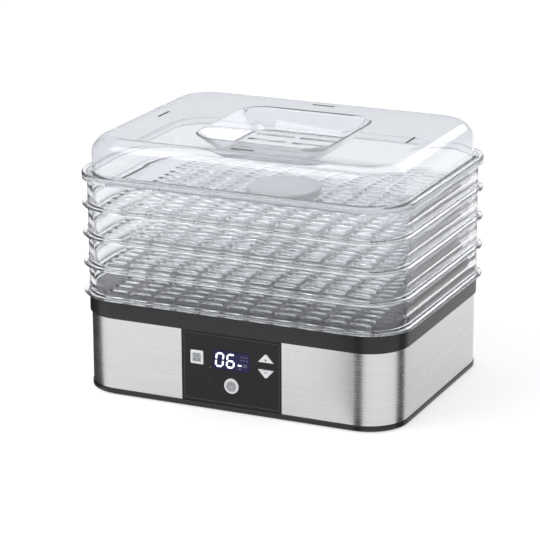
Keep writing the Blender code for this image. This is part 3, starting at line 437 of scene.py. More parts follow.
band = bmesh.new()
section = [(STEEL_IN + STEEL_FOLD, STEEL_LOW), (STEEL_IN, STEEL_LOW + STEEL_FOLD),
           (STEEL_IN, STEEL_TOP - STEEL_FOLD), (STEEL_IN + STEEL_FOLD, STEEL_TOP),
           (STEEL_IN + STEEL_THICK, STEEL_TOP), (STEEL_IN + STEEL_THICK, STEEL_LOW)]
skin(band, [ring(band, distance, height) for distance, height in section], closed=True)
for side in (-1, 1):
    bmesh.ops.bisect_plane(band, geom=band.verts[:] + band.edges[:] + band.faces[:],
                           plane_co=(side * PANEL_HALF, 0, 0), plane_no=(1, 0, 0))
opening = [f for f in band.faces
           if abs(f.calc_center_median().x) < PANEL_HALF and f.calc_center_median().y < 0]
bmesh.ops.delete(band, geom=opening, context="FACES")
bmesh.ops.holes_fill(band, edges=[e for e in band.edges if e.is_boundary], sides=0)
ready("steel_band", band, brushed, "base", "brushed_steel", "steel_wrap")

# Collar and deck: one black moulding that closes the base. Its collar stands over the steel,
# its sloped ledge catches drips, and the slotted deck lets the warm air up.
COLLAR_LOW = 77.3 * MM
COLLAR_TOP = 95.5 * MM
DECK_TOP = 83.8 * MM
DECK_LOW = 81.3 * MM
DECK_SOFT = 0.4 * MM
COLLAR_WALL = 2.3 * MM
COLLAR_SOFT = 0.4 * MM
COLLAR_ROUND = 1.2 * MM
TONGUE_OUT, TONGUE_IN, TONGUE_DOWN = 5.9 * MM, 7.9 * MM, 3.5 * MM
CHANNEL_TOP = DECK_TOP + 2 * MM
LEDGE_OUT, LEDGE_TOP = 1.8 * MM, COLLAR_TOP - 4.5 * MM
LEDGE_IN, LEDGE_LOW = 9.9 * MM, COLLAR_TOP - 6.5 * MM
WELL_IN = 13.9 * MM
OUTLET = 56 * MM
OUTLET_PITCH_X, OUTLET_PITCH_Y = 30 * MM, 12 * MM
OUTLET_GAP_X, OUTLET_GAP_Y = 4 * MM, 6 * MM
OUTLET_ROUND = 2.5 * MM

deck = bmesh.new()
upper, lower = slotted_plate(
    deck, DECK_LOW, DECK_TOP, DECK_SOFT, columns=4, rows=9, pitch_x=OUTLET_PITCH_X,
    pitch_y=OUTLET_PITCH_Y, gap_x=OUTLET_GAP_X, gap_y=OUTLET_GAP_Y, end_round=OUTLET_ROUND,
    open_at=lambda x, y: x * x + y * y < OUTLET ** 2)
section = [(TONGUE_IN, DECK_LOW), (TONGUE_IN, COLLAR_LOW - TONGUE_DOWN),
           (TONGUE_OUT, COLLAR_LOW - TONGUE_DOWN), (TONGUE_OUT, CHANNEL_TOP),
           (COLLAR_WALL, CHANNEL_TOP), (COLLAR_WALL, COLLAR_LOW)]
section += [(COLLAR_SOFT, COLLAR_LOW), (0.0, COLLAR_LOW + COLLAR_SOFT)]
section += arc(COLLAR_ROUND, COLLAR_TOP - COLLAR_ROUND, COLLAR_ROUND, 0, 90, 5)
section += [(LEDGE_OUT, COLLAR_TOP), (LEDGE_OUT, LEDGE_TOP), (LEDGE_IN, LEDGE_LOW), (WELL_IN, DECK_TOP)]
loops = [ring(deck, distance, height) for distance, height in section]
skin(deck, loops)
frame_fill(deck, loops[0], lower)
frame_fill(deck, loops[-1], upper)
ready("collar_and_deck", deck, satin_black, "base", "black_plastic", "top_deck")

# Control panel: one black moulded plate let into the steel's opening, with openings for the
# display window, the four buttons and the status light. It snaps onto the pan behind it.
STEEL_FACE = -123.2 * MM
PANEL_SUNK = 0.3 * MM
FACE = STEEL_FACE + PANEL_SUNK
PANEL_LOW, PANEL_HIGH = SKIRT_TOP + 0.3 * MM, STEEL_TOP
PANEL_MIDDLE, PANEL_HALF_Z = (PANEL_LOW + PANEL_HIGH) / 2, (PANEL_HIGH - PANEL_LOW) / 2
PANEL_SIDE_GAP = 0.3 * MM
PANEL_CORNER = 0.6 * MM
PLATE_THICK = 1.6 * MM
PLATE_ROUND = 0.18 * MM
WINDOW_HALF_X, WINDOW_HALF_Z = 19.2 * MM, 9.7 * MM
WINDOW_Z = 51.3 * MM
WINDOW_CORNER = 0.5 * MM
BUTTON_X = 35.8 * MM
MODE_Z = 50.8 * MM
MODE_HALF = 6.7 * MM
MODE_HOLE_CORNER = 1.1 * MM
POWER_Z = 26.5 * MM
POWER_RADIUS = 7.5 * MM
ARROW_BASE, ARROW_TIP, ARROW_HALF = 3.4 * MM, 11.6 * MM, 8.4 * MM
ARROW_HOLE_CORNER = 0.9 * MM
CLEARANCE = 0.35 * MM
LIGHT_X, LIGHT_Z, LIGHT_RADIUS = -22 * MM, 42.6 * MM, 1.1 * MM


def upright(mesh, verts=None):
    """Turn a shape drawn flat (x, y) to stand on the panel: y becomes height, z comes forward."""
    verts = verts or mesh.verts
    bmesh.ops.transform(mesh, matrix=Matrix.Rotation(math.pi / 2, 4, "X"), verts=verts)


def flat_loop(mesh, corners, rounding, steps=5):
    """Closed loop through flat corner points, each corner rounded."""
    verts = [mesh.verts.new((x, z, 0)) for x, z in corners]
    face = mesh.faces.new(verts)
    if rounding:
        before = set(mesh.verts) - set(verts)
        bmesh.ops.bevel(mesh, geom=verts, offset=rounding, segments=steps, profile=0.5,
                        affect="VERTICES", material=-1)
        verts = [v for v in mesh.verts if v not in before]
        face = verts[0].link_faces[0]
    return face


def square(middle_x, middle_z, half_x, half_z):
    return [(middle_x - half_x, middle_z - half_z), (middle_x + half_x, middle_z - half_z),
            (middle_x + half_x, middle_z + half_z), (middle_x - half_x, middle_z + half_z)]


def triangle(way, grow):
    """Arrow button's outline; way is 1 for up and -1 for down."""
    base = WINDOW_Z + way * (ARROW_BASE - grow)
    tip = WINDOW_Z + way * (ARROW_TIP + 1.6 * grow)
    half = ARROW_HALF + 2 * grow
    points = [(BUTTON_X - half, base), (BUTTON_X + half, base),
              (BUTTON_X + MM, tip), (BUTTON_X - MM, tip)]
    return points if way > 0 else points[::-1]


def circle(middle_x, middle_z, radius, steps=40):
    turns = [TURN * i / steps for i in range(steps)]
    return [(middle_x + radius * math.cos(a), middle_z + radius * math.sin(a)) for a in turns]


plate = bmesh.new()
outer = flat_loop(plate, square(0, PANEL_MIDDLE, PANEL_HALF - PANEL_SIDE_GAP, PANEL_HALF_Z),
                  PANEL_CORNER, 3)
edges = list(outer.edges)
bmesh.ops.delete(plate, geom=[outer], context="FACES_ONLY")
for corners, rounding in (
        (square(0, WINDOW_Z, WINDOW_HALF_X, WINDOW_HALF_Z), WINDOW_CORNER),
        (square(-BUTTON_X, MODE_Z, MODE_HALF + CLEARANCE, MODE_HALF + CLEARANCE), MODE_HOLE_CORNER),
        (circle(0, POWER_Z, POWER_RADIUS + CLEARANCE), 0),
        (triangle(1, CLEARANCE), ARROW_HOLE_CORNER), (triangle(-1, CLEARANCE), ARROW_HOLE_CORNER),
        (circle(LIGHT_X, LIGHT_Z, LIGHT_RADIUS, 16), 0)):
    inner = flat_loop(plate, corners, rounding, 4)
    edges += list(inner.edges)
    bmesh.ops.delete(plate, geom=[inner], context="FACES_ONLY")
bmesh.ops.triangle_fill(plate, edges=edges, use_beauty=True, normal=(0, 0, 1))
pulled = bmesh.ops.extrude_face_region(plate, geom=plate.faces[:])
back = [v for v in pulled["geom"] if isinstance(v, bmesh.types.BMVert)]
bmesh.ops.translate(plate, vec=(0, 0, -PLATE_THICK), verts=back)
plate.normal_update()
rims = [e for e in plate.edges if e.calc_face_angle(0) > RIM_ANGLE
        and all(v.co.z > -0.1 * MM for v in e.verts)]
bmesh.ops.bevel(plate, geom=rims, offset=PLATE_ROUND, segments=2, profile=0.5, affect="EDGES",
                material=-1, clamp_overlap=True)
upright(plate)
bmesh.ops.translate(plate, vec=(0, FACE, 0), verts=plate.verts)
panel_black, shader = grained("panel_black", (0.006, 0.0062, 0.0066), (0.009, 0.0092, 0.0098), 0.26, 700,
                              bump=0.12, depth=0.02, rough_swing=0.04)
shader.inputs["Specular IOR Level"].default_value = 0.26
ready("panel_plate", plate, panel_black, "base", "black_plastic", "control_fascia", angle=15)

# Line round the panel: a shallow bead moulded on the black plate, just inside its edge.
# It is painted dark grey, so that it shows as a fine pale line.
BEAD_IN = 2.5 * MM
BEAD_WIDE = 0.4 * MM
BEAD_PROUD = 0.12 * MM
BEAD_ROOT = 0.3 * MM
BEAD_CORNER = 1.4 * MM
BEAD_ROUND = 0.1 * MM

bead = bmesh.new()
face = flat_loop(bead, square(0, PANEL_MIDDLE, PANEL_HALF - BEAD_IN, PANEL_HALF_Z - BEAD_IN),
                 BEAD_CORNER, 4)
bmesh.ops.inset_region(bead, faces=[face], thickness=BEAD_WIDE, use_even_offset=True,
                       use_boundary=True)
bmesh.ops.delete(bead, geom=[face], context="FACES")
pulled = bmesh.ops.extrude_face_region(bead, geom=bead.faces[:])
back = [v for v in pulled["geom"] if isinstance(v, bmesh.types.BMVert)]
bmesh.ops.translate(bead, vec=(0, 0, BEAD_PROUD), verts=list(set(bead.verts) - set(back)))
bmesh.ops.translate(bead, vec=(0, 0, -BEAD_ROOT), verts=back)
bead.normal_update()
rims = [e for e in bead.edges if e.calc_face_angle(0) > RIM_ANGLE and all(v.co.z > 0 for v in e.verts)]
bmesh.ops.bevel(bead, geom=rims, offset=BEAD_ROUND, segments=2, profile=0.5, affect="EDGES",
                material=-1)
upright(bead)
bmesh.ops.translate(bead, vec=(0, FACE, 0), verts=bead.verts)
bead_grey, _ = grained("bead_grey", (0.045, 0.046, 0.05), (0.06, 0.062, 0.066), 0.3, 600, bump=0.1)
ready("panel_bead", bead, bead_grey, "base", "black_plastic")

# Display: a smoked acrylic window, with lit white figures and unlit marks showing through it.
# The window is pressed into its opening in the plate, a hair in front of the plate's face.
PANE_GAP = 0.25 * MM
PANE_CORNER = 0.4 * MM
PANE_THICK = 1.8 * MM
PANE_ROUND = 0.2 * MM
PANE_PROUD = 0.02 * MM
MARK_PROUD, MARK_THICK = 0.06 * MM, 0.12 * MM
DIGIT_WIDE, DIGIT_TALL, BAR = 8.8 * MM, 14.5 * MM, 1.75 * MM
BAR_GAP = 0.5 * MM
LEAN = 0.10
FIRST_DIGIT_X, SECOND_DIGIT_X, DASH_X = -12.2 * MM, -0.8 * MM, 8.6 * MM
DASH_BELOW, DASH_HALF_X, DASH_HALF_Z = 3.2 * MM, 1.9 * MM, 0.75 * MM
DOT_X, DOT_ABOVE, DOT_RADIUS = 10.4, 2.2, 0.9 * MM
DOT_PITCH_X, DOT_PITCH_Z = 2.9, 3.2

smoked, shader = grained("smoked_acrylic", (0.011, 0.009, 0.045), (0.015, 0.012, 0.058), 0.12, 60,
                         bump=0.02, depth=0.01, rough_swing=0.02)
shader.inputs["Specular IOR Level"].default_value = 0.22
pane = bmesh.new()
flat_loop(pane, square(0, WINDOW_Z, WINDOW_HALF_X - PANE_GAP, WINDOW_HALF_Z - PANE_GAP), PANE_CORNER, 4)
pulled = bmesh.ops.extrude_face_region(pane, geom=pane.faces[:])
back = [v for v in pulled["geom"] if isinstance(v, bmesh.types.BMVert)]
bmesh.ops.translate(pane, vec=(0, 0, -PANE_THICK), verts=back)
pane.normal_update()
rims = [e for e in pane.edges if e.calc_face_angle(0) > RIM_ANGLE and all(v.co.z > -MM for v in e.verts)]
bmesh.ops.bevel(pane, geom=rims, offset=PANE_ROUND, segments=2, profile=0.5, affect="EDGES",
                material=-1)
upright(pane)
bmesh.ops.translate(pane, vec=(0, FACE - PANE_PROUD, 0), verts=pane.verts)
ready("display_window", pane, smoked, "base", "smoked_lens", "display_lens", angle=15)


def glowing(name, colour, strength, rough=0.4):
    made, shader = grained(name, [c * 0.9 for c in colour], colour, rough, 500, bump=0.02)
    shader.inputs["Emission Color"].default_value = (*colour, 1)
    shader.inputs["Emission Strength"].default_value = strength
    return made


def mark(mesh, corners, rounding=0.0, proud=MARK_PROUD):
    """Thin raised mark on the panel, from its flat outline."""
    part = bmesh.new()
    flat_loop(part, corners, rounding, 2)
    pulled = bmesh.ops.extrude_face_region(part, geom=part.faces[:])
    back = [v for v in pulled["geom"] if isinstance(v, bmesh.types.BMVert)]
    bmesh.ops.translate(part, vec=(0, 0, -MARK_THICK), verts=back)
    bmesh.ops.translate(part, vec=(0, 0, proud), verts=part.verts)
    upright(part)
    bmesh.ops.translate(part, vec=(0, FACE, 0), verts=part.verts)
    data = bpy.data.meshes.new("mark")
    part.to_mesh(data)
    part.free()
    mesh.from_mesh(data)
    bpy.data.meshes.remove(data)


def bar_level(x, z, half):
    return [(x - half, z), (x - half + BAR / 2, z - BAR / 2), (x + half - BAR / 2, z - BAR / 2),
            (x + half, z), (x + half - BAR / 2, z + BAR / 2), (x - half + BAR / 2, z + BAR / 2)]


def bar_upright(x, z, half):
    return [(x, z - half), (x + BAR / 2, z - half + BAR / 2), (x + BAR / 2, z + half - BAR / 2),
            (x, z + half), (x - BAR / 2, z + half - BAR / 2), (x - BAR / 2, z - half + BAR / 2)]


def digit(mesh, x, z, lit):
    """Seven-bar figure; lit names its bars: t, m, b across, and a, c left, r, s right."""
    wide, tall = DIGIT_WIDE / 2 - BAR / 2, DIGIT_TALL / 2 - BAR / 2
    bars = {"t": bar_level(0, tall, wide - BAR_GAP), "m": bar_level(0, 0, wide - BAR_GAP),
            "b": bar_level(0, -tall, wide - BAR_GAP),
            "a": bar_upright(-wide, tall / 2, tall / 2 - BAR_GAP),
            "c": bar_upright(-wide, -tall / 2, tall / 2 - BAR_GAP),
            "r": bar_upright(wide, tall / 2, tall / 2 - BAR_GAP),
            "s": bar_upright(wide, -tall / 2, tall / 2 - BAR_GAP)}
    for name in lit:
        mark(mesh, [(x + px + LEAN * pz, z + pz) for px, pz in bars[name]])


figures = bmesh.new()
digit(figures, FIRST_DIGIT_X, WINDOW_Z, "tbacrs")
digit(figures, SECOND_DIGIT_X, WINDOW_Z, "tmbacs")
mark(figures, square(DASH_X, WINDOW_Z - DASH_BELOW, DASH_HALF_X, DASH_HALF_Z), 0.3 * MM)
lit_white = glowing("lit_white", (0.86, 0.90, 1.0), 1.1)
ready("lit_figures", figures, lit_white, "base", "white_plastic", angle=30)
unlit = bmesh.new()
for column in range(3):
    for row in range(2):
        mark(unlit, circle((DOT_X + DOT_PITCH_X * column) * MM,
                           WINDOW_Z + (DOT_ABOVE + DOT_PITCH_Z * row) * MM, DOT_RADIUS, 12))
mark(unlit, square(14.0 * MM, WINDOW_Z - 3.0 * MM, 2.2 * MM, 1.6 * MM), 0.4 * MM)
mark(unlit, square(9.0 * MM, WINDOW_Z - 6.4 * MM, 1.6 * MM, 0.6 * MM), 0.2 * MM)
unlit_violet = glowing("unlit_violet", (0.055, 0.05, 0.10), 0.35)
ready("unlit_marks", unlit, unlit_violet, "base", "smoked_lens", angle=30)
status_light = frame["nodes"]["status_led"]
status_light.data.materials.clear()
status_light.data.materials.append(glowing("status_amber", (0.11, 0.085, 0.05), 0.1))

# Buttons: moulded caps in silver lacquer with a soft round along the edge, on stems that
# press their switches. Grey marks are printed on them, two of them on a darker grey field.
BUTTON_PROUD = 0.9 * MM
BUTTON_DEEP = 4 * MM + BUTTON_PROUD
BUTTON_ROUND = 0.55 * MM
BUTTON_RIM_ANGLE = 1.0
MODE_CORNER, ARROW_CORNER = 0.9 * MM, 0.8 * MM
STEM_START = 3.5 * MM
STEM_RADIUS, STEM_TIP_RADIUS = 1.8 * MM, 2 * MM
STEM_FROM_WINDOW = 6.1 * MM
FIELD_PROUD = BUTTON_PROUD + 0.03 * MM
PRINT_PROUD = BUTTON_PROUD + MARK_PROUD
POWER_FIELD = 5.6 * MM
MODE_FIELD_X, MODE_FIELD_Z, MODE_FIELD_CORNER = 4.5 * MM, 4.3 * MM, 0.8 * MM
RING_RADIUS, RING_DOT, RING_DOTS = 3.2 * MM, 0.7 * MM, 13
SIGN_LONG, SIGN_THIN, SIGN_FROM_WINDOW = 1.7 * MM, 0.38 * MM, 6.3 * MM
PLUS_ARM, PLUS_ARM_OUT = 0.66 * MM, 1.05 * MM

silver, shader = grained("silver_lacquer", (0.60, 0.61, 0.62), (0.72, 0.73, 0.735), 0.30, 1400,
                         bump=0.10, depth=0.02, metal=0.35, rough_swing=0.05)
shader.inputs["Coat Weight"].default_value = 0.25
mark_grey, _ = grained("mark_grey", (0.16, 0.165, 0.17), (0.22, 0.225, 0.23), 0.5, 900, bump=0.05)
shapes = {"mode_button": (square(-BUTTON_X, MODE_Z, MODE_HALF, MODE_HALF), MODE_CORNER,
                          -BUTTON_X, MODE_Z),
          "power_button": (circle(0, POWER_Z, POWER_RADIUS), 0, 0, POWER_Z),
          "up_button": (triangle(1, 0), ARROW_CORNER, BUTTON_X, WINDOW_Z + STEM_FROM_WINDOW),
          "down_button": (triangle(-1, 0), ARROW_CORNER, BUTTON_X, WINDOW_Z - STEM_FROM_WINDOW)}
for name, (corners, rounding, stem_x, stem_z) in shapes.items():
    button = bmesh.new()
    flat_loop(button, corners, rounding, 4)
    pulled = bmesh.ops.extrude_face_region(button, geom=button.faces[:])
    back = [v for v in pulled["geom"] if isinstance(v, bmesh.types.BMVert)]
    bmesh.ops.translate(button, vec=(0, 0, -BUTTON_DEEP), verts=back)
    button.normal_update()
    front = [e for e in button.edges if e.calc_face_angle(0) > BUTTON_RIM_ANGLE
             and all(v.co.z > -MM for v in e.verts)]
    bmesh.ops.bevel(button, geom=front, offset=BUTTON_ROUND, segments=4, profile=0.5, affect="EDGES",
                    material=-1)
    bmesh.ops.translate(button, vec=(0, 0, BUTTON_PROUD), verts=button.verts)
    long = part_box(name)[1].y - FACE - STEM_START
    place = Matrix.Translation((stem_x, stem_z, -STEM_START - long / 2))
    bmesh.ops.create_cone(button, cap_ends=True, segments=16, radius1=STEM_RADIUS,
                          radius2=STEM_TIP_RADIUS, depth=long, matrix=place)
    upright(button)
    bmesh.ops.translate(button, vec=(0, FACE, 0), verts=button.verts)
    ready(name + "_cap", button, silver, name + "_body", "silver_button", name, angle=40)

disc = bmesh.new()
mark(disc, circle(0, POWER_Z, POWER_FIELD), 0, FIELD_PROUD)
mid_grey, _ = grained("mid_grey", (0.30, 0.305, 0.31), (0.37, 0.375, 0.38), 0.45, 900, bump=0.05)
ready("power_disc", disc, mid_grey, "power_button_body", "black_plastic", angle=30)
disc = bmesh.new()
mark(disc, square(-BUTTON_X, MODE_Z, MODE_FIELD_X, MODE_FIELD_Z), MODE_FIELD_CORNER, FIELD_PROUD)
ready("mode_disc", disc, mid_grey, "mode_button_body", "black_plastic", angle=30)
printed = bmesh.new()
for step in range(RING_DOTS):
    way = TURN * (0.33 + 0.84 * step / (RING_DOTS - 1))
    mark(printed, circle(RING_RADIUS * math.cos(way), POWER_Z + RING_RADIUS * math.sin(way), RING_DOT, 8),
         0, PRINT_PROUD)
mark(printed, square(0, POWER_Z + 2.4 * MM, 0.6 * MM, 2.0 * MM), 0.3 * MM, PRINT_PROUD)
ready("power_mark", printed, mark_grey, "power_button_body", "black_plastic", angle=30)
printed = bmesh.new()
for row, half in ((3.1, 3.6), (1.2, 2.6), (-1.1, 3.0), (-3.1, 3.6)):
    mark(printed, square(-BUTTON_X, MODE_Z + row * MM, half * MM, 0.45 * MM), 0.2 * MM, PRINT_PROUD)
for side in (-1, 1):
    mark(printed, square(-BUTTON_X + side * 2.4 * MM, MODE_Z - 2.0 * MM, 0.45 * MM, 1.2 * MM), 0.2 * MM,
         PRINT_PROUD)
ready("mode_mark", printed, mark_grey, "mode_button_body", "black_plastic", angle=30)
for name, way in (("up", 1), ("down", -1)):
    printed = bmesh.new()
    z = WINDOW_Z + way * SIGN_FROM_WINDOW
    mark(printed, square(BUTTON_X, z, SIGN_LONG, SIGN_THIN), 0.15 * MM, PRINT_PROUD)
    for side in (1, -1) if way > 0 else ():
        mark(printed, square(BUTTON_X, z + side * PLUS_ARM_OUT, SIGN_THIN, PLUS_ARM), 0.15 * MM,
             PRINT_PROUD)
    ready(name + "_mark", printed, mark_grey, name + "_button_body", "black_plastic", angle=30)

# Trays: four alike, injection moulded in clear plastic. Each has a slotted floor, a low wall,
# an outer flange and a lip below that drops inside the wall of the tray under it.
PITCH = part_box("tray_2")[0].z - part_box("tray_1")[0].z
NEST_LIP = 3 * MM
TRAY_WALL = 1.8 * MM
TRAY_FLOOR = 2.6 * MM
FLANGE_THICK = 2.2 * MM
FLANGE_ROUND = 0.5 * MM
FLANGE_FOOT, FLANGE_SOFT = 1.2 * MM, 0.35 * MM
LIP_IN = 2.3 * MM
LIP_SOFT = 0.4 * MM
WALL_FOOT, WALL_SOFT, FLOOR_EDGE = 1.5 * MM, 0.45 * MM, 2.2 * MM
SLOT_PITCH_X, SLOT_PITCH_Y = 25.2 * MM, 12.3 * MM
SLOT_ROUND, SLOT_SOFT = 2.2 * MM, 0.6 * MM
RIB, BAR_ACROSS = 4.6 * MM, 7.1 * MM
STACK_GAP = 0.3 * MM
FLOW_SCALE = 38.0


def clear_plastic(name, tint, rough=0.01, wave=0.01, clarity=0.98, bend=1.25):
    """Clear moulded plastic: a little milky, with a faint flow wave in its faces."""
    made, shader = plain(name, tint, rough)
    shader.inputs["Transmission Weight"].default_value = clarity
    shader.inputs["IOR"].default_value = bend
    tree = made.node_tree
    place = node(tree, "TexCoord")
    flow = node(tree, "TexNoise", Scale=FLOW_SCALE, Detail=2.0)
    relief = node(tree, "Bump", Strength=wave, Distance=0.4 * MM)
    tree.links.new(place.outputs["Object"], flow.inputs["Vector"])
    tree.links.new(flow.outputs["Fac"], relief.inputs["Height"])
    tree.links.new(relief.outputs["Normal"], shader.inputs["Normal"])
    return made


clear = clear_plastic("clear_plastic", (0.98, 0.986, 0.996), clarity=0.985, bend=1.32)
floor_clear = clear_plastic("floor_clear", (0.98, 0.986, 0.996), clarity=0.97, bend=1.42)
tall = PITCH - STACK_GAP
tray = bmesh.new()
upper, lower = slotted_plate(tray, 0, TRAY_FLOOR, SLOT_SOFT, columns=11, rows=19, pitch_x=SLOT_PITCH_X,
                             pitch_y=SLOT_PITCH_Y, gap_x=RIB, gap_y=BAR_ACROSS, end_round=SLOT_ROUND)
section = [(LIP_IN + TRAY_WALL, 0), (LIP_IN + TRAY_WALL, -NEST_LIP + LIP_SOFT),
           (LIP_IN + TRAY_WALL - LIP_SOFT, -NEST_LIP), (LIP_IN + LIP_SOFT, -NEST_LIP),
           (LIP_IN, -NEST_LIP + LIP_SOFT), (LIP_IN, 0)]
section += arc(-FLANGE_OUT + FLANGE_ROUND, FLANGE_ROUND, FLANGE_ROUND, -90, 0, 4)
section += arc(-FLANGE_OUT + FLANGE_ROUND, FLANGE_THICK - FLANGE_ROUND, FLANGE_ROUND, 0, 90, 4)
section += [(-FLANGE_FOOT, FLANGE_THICK), (-FLANGE_SOFT, FLANGE_THICK + FLANGE_SOFT),
            (0, FLANGE_THICK + FLANGE_FOOT), (0, tall - 0.5 * MM)]
section += arc(TRAY_WALL / 2, tall - TRAY_WALL / 2, TRAY_WALL / 2, 0, 180, 6)
section += [(TRAY_WALL, TRAY_FLOOR + WALL_FOOT), (TRAY_WALL + WALL_SOFT, TRAY_FLOOR + WALL_SOFT),
            (TRAY_WALL + WALL_FOOT, TRAY_FLOOR), (TRAY_WALL + FLOOR_EDGE, TRAY_FLOOR)]
loops = [ring(tray, distance, height) for distance, height in section]
skin(tray, loops)
frame_fill(tray, loops[0], lower)
frame_fill(tray, loops[-1], upper)
moulded = bpy.data.meshes.new("moulded_tray")
tray.to_mesh(moulded)
tray.free()
for number in range(1, 5):
    tray = bmesh.new()
    tray.from_mesh(moulded)
    floor_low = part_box(f"tray_{number}")[0].z + NEST_LIP
    bmesh.ops.translate(tray, vec=(0, 0, floor_low), verts=tray.verts)
    made = ready(f"clear_tray_{number}", tray, clear, f"tray_{number}_body", "clear_plastic",
                 f"tray_{number}", angle=40)
    made.data.materials.append(floor_clear)
    for face in made.data.polygons:
        middle = face.center
        if (abs(middle.x) < WALL_X - 2 * LIP_IN and abs(middle.y) < WALL_Y - 2 * LIP_IN
                and floor_low - MM < middle.z < floor_low + TRAY_FLOOR + MM):
            face.material_index = 1
bpy.data.meshes.remove(moulded)

# Centre cap: a round cap that stands loose on the middle of the top tray's floor, moulded in a
# milkier plastic than the trays, with a rounded upper edge.
CAP_RADIUS = 36 * MM
CAP_WALL = 1.6 * MM
CAP_ROUND = 1.6 * MM
low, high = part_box("centre_cap")
cap_mesh = bmesh.new()
outline = [(0.0, high.z), (CAP_RADIUS - CAP_ROUND, high.z)]
outline += [(CAP_RADIUS - CAP_ROUND + CAP_ROUND * math.sin(a), high.z - CAP_ROUND + CAP_ROUND * math.cos(a))
            for a in (math.radians(d) for d in (22.5, 45, 67.5, 90))]
outline += [(CAP_RADIUS, low.z), (CAP_RADIUS - CAP_WALL, low.z),
            (CAP_RADIUS - CAP_WALL, high.z - CAP_WALL), (0.0, high.z - CAP_WALL)]
line = [cap_mesh.verts.new((radius, 0, height)) for radius, height in outline]
edges = [cap_mesh.edges.new(pair) for pair in zip(line, line[1:])]
bmesh.ops.spin(cap_mesh, geom=line + edges, axis=(0, 0, 1), cent=(0, 0, 0), angle=TURN, steps=64,
               use_merge=True)
milky = clear_plastic("milky_clear", (0.985, 0.988, 0.995), 0.2, clarity=0.12, bend=1.45)
ready("clear_cap", cap_mesh, milky, "tray_4_body", "clear_plastic", "centre_cap")

# Lid: a clear moulding with a rim that drops over the top tray, a rounded top edge and a square
# sunken basin as the grip. Slots in the basin's floor and four short slits let the moist air out.
RIM_UP, RIM_DOWN = 4.2 * MM, 2.6 * MM
RIM_ROUND, RIM_LOW_ROUND = 1.4 * MM, 0.5 * MM
RIM_FOOT, RIM_INSIDE = 0.8 * MM, 0.5 * MM
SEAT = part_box("lid")[0].z + RIM_DOWN
LID_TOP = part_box("lid")[1].z
LID_IN = 3.5 * MM
LID_THICK = 2 * MM
LID_ROUND = 18 * MM
LID_CORNER = 45 * MM
BASIN_HALF, BASIN_FLOOR_HALF = 69 * MM, 50 * MM
BASIN_CORNER, BASIN_FLOOR_CORNER = 28 * MM, 18.5 * MM
BASIN_DEEP = 18 * MM
BASIN_FLOOR = LID_TOP - BASIN_DEEP
VENT_PITCH_X, VENT_PITCH_Y = 46 * MM, 20.5 * MM
VENT_GAP_X, VENT_GAP_Y = 6 * MM, 14.5 * MM
VENT_ROUND, VENT_SOFT = 1.6 * MM, 0.5 * MM
SLIT_X, SLIT_Y = 129.8 * MM, 94.3 * MM
SLIT_HALF, SLIT_HALF_LONG, SLIT_CORNER = MM, 12 * MM, 0.9 * MM


def slit(mesh, x, y, half_x, half_y, high, low):
    """Narrow opening through a flat wall; returns its upper and lower mouths."""
    mouths = []
    for height in (high, low):
        part = rounded_loop(mesh, half_x, half_y, SLIT_CORNER, height, 2)
        bmesh.ops.translate(mesh, vec=(x, y, 0), verts=list({v for e in part for v in e.verts}))
        mouths.append(part)
    bmesh.ops.bridge_loops(mesh, edges=mouths[0] + mouths[1])
    return mouths


lid = bmesh.new()
upper, lower = slotted_plate(
    lid, BASIN_FLOOR - LID_THICK, BASIN_FLOOR, VENT_SOFT, columns=2, rows=4, pitch_x=VENT_PITCH_X,
    pitch_y=VENT_PITCH_Y, gap_x=VENT_GAP_X, gap_y=VENT_GAP_Y, end_round=VENT_ROUND)
outside = [rounded_loop(lid, BASIN_FLOOR_HALF - MM, BASIN_FLOOR_HALF - MM, BASIN_FLOOR_CORNER - MM,
                        BASIN_FLOOR)]
for part, sink in ((0.06, 0.02), (0.5, 0.5), (0.96, 0.985)):
    half = BASIN_FLOOR_HALF + (BASIN_HALF - BASIN_FLOOR_HALF) * part
    corner = BASIN_FLOOR_CORNER + (BASIN_CORNER - BASIN_FLOOR_CORNER) * part
    outside.append(rounded_loop(lid, half, half, corner, BASIN_FLOOR + BASIN_DEEP * sink))
for spread in (0.6 * MM, 1.6 * MM):
    outside.append(rounded_loop(lid, BASIN_HALF + spread, BASIN_HALF + spread, BASIN_CORNER, LID_TOP))
section = [(LID_IN + LID_ROUND + MM, LID_TOP)]
section += arc(LID_IN + LID_ROUND, LID_TOP - LID_ROUND, LID_ROUND, 90, 0, 12)
section += [(LID_IN, SEAT + RIM_UP + MM)]
wall = [ring(lid, distance, height, LID_CORNER) for distance, height in section]
section = [(-RIM_FOOT, SEAT + RIM_UP)]
section += arc(-FLANGE_OUT + RIM_ROUND, SEAT + RIM_UP - RIM_ROUND, RIM_ROUND, 90, 0, 4)
section += arc(-FLANGE_OUT + RIM_LOW_ROUND, SEAT - RIM_DOWN + RIM_LOW_ROUND, RIM_LOW_ROUND, 0, -90, 3)
section += [(-RIM_INSIDE, SEAT - RIM_DOWN), (-RIM_INSIDE, SEAT)]
rim = [ring(lid, distance, height) for distance, height in section]
inner_round = LID_ROUND - LID_THICK
section = [(LID_IN + LID_THICK, SEAT)]
section += arc(LID_IN + LID_THICK + inner_round, LID_TOP - LID_ROUND, inner_round, 0, 90, 12)
section += [(LID_IN + LID_ROUND + MM, LID_TOP - LID_THICK)]
inside = [ring(lid, distance, height, LID_CORNER) for distance, height in section]
under = [rounded_loop(lid, BASIN_HALF + spread, BASIN_HALF + spread, BASIN_CORNER, LID_TOP - LID_THICK)
         for spread in (2.6 * MM, 1.6 * MM)]
under += [
    rounded_loop(lid, BASIN_FLOOR_HALF + spread, BASIN_FLOOR_HALF + spread, BASIN_FLOOR_CORNER,
                 BASIN_FLOOR - LID_THICK) for spread in (1.2 * MM, 0.2 * MM)]
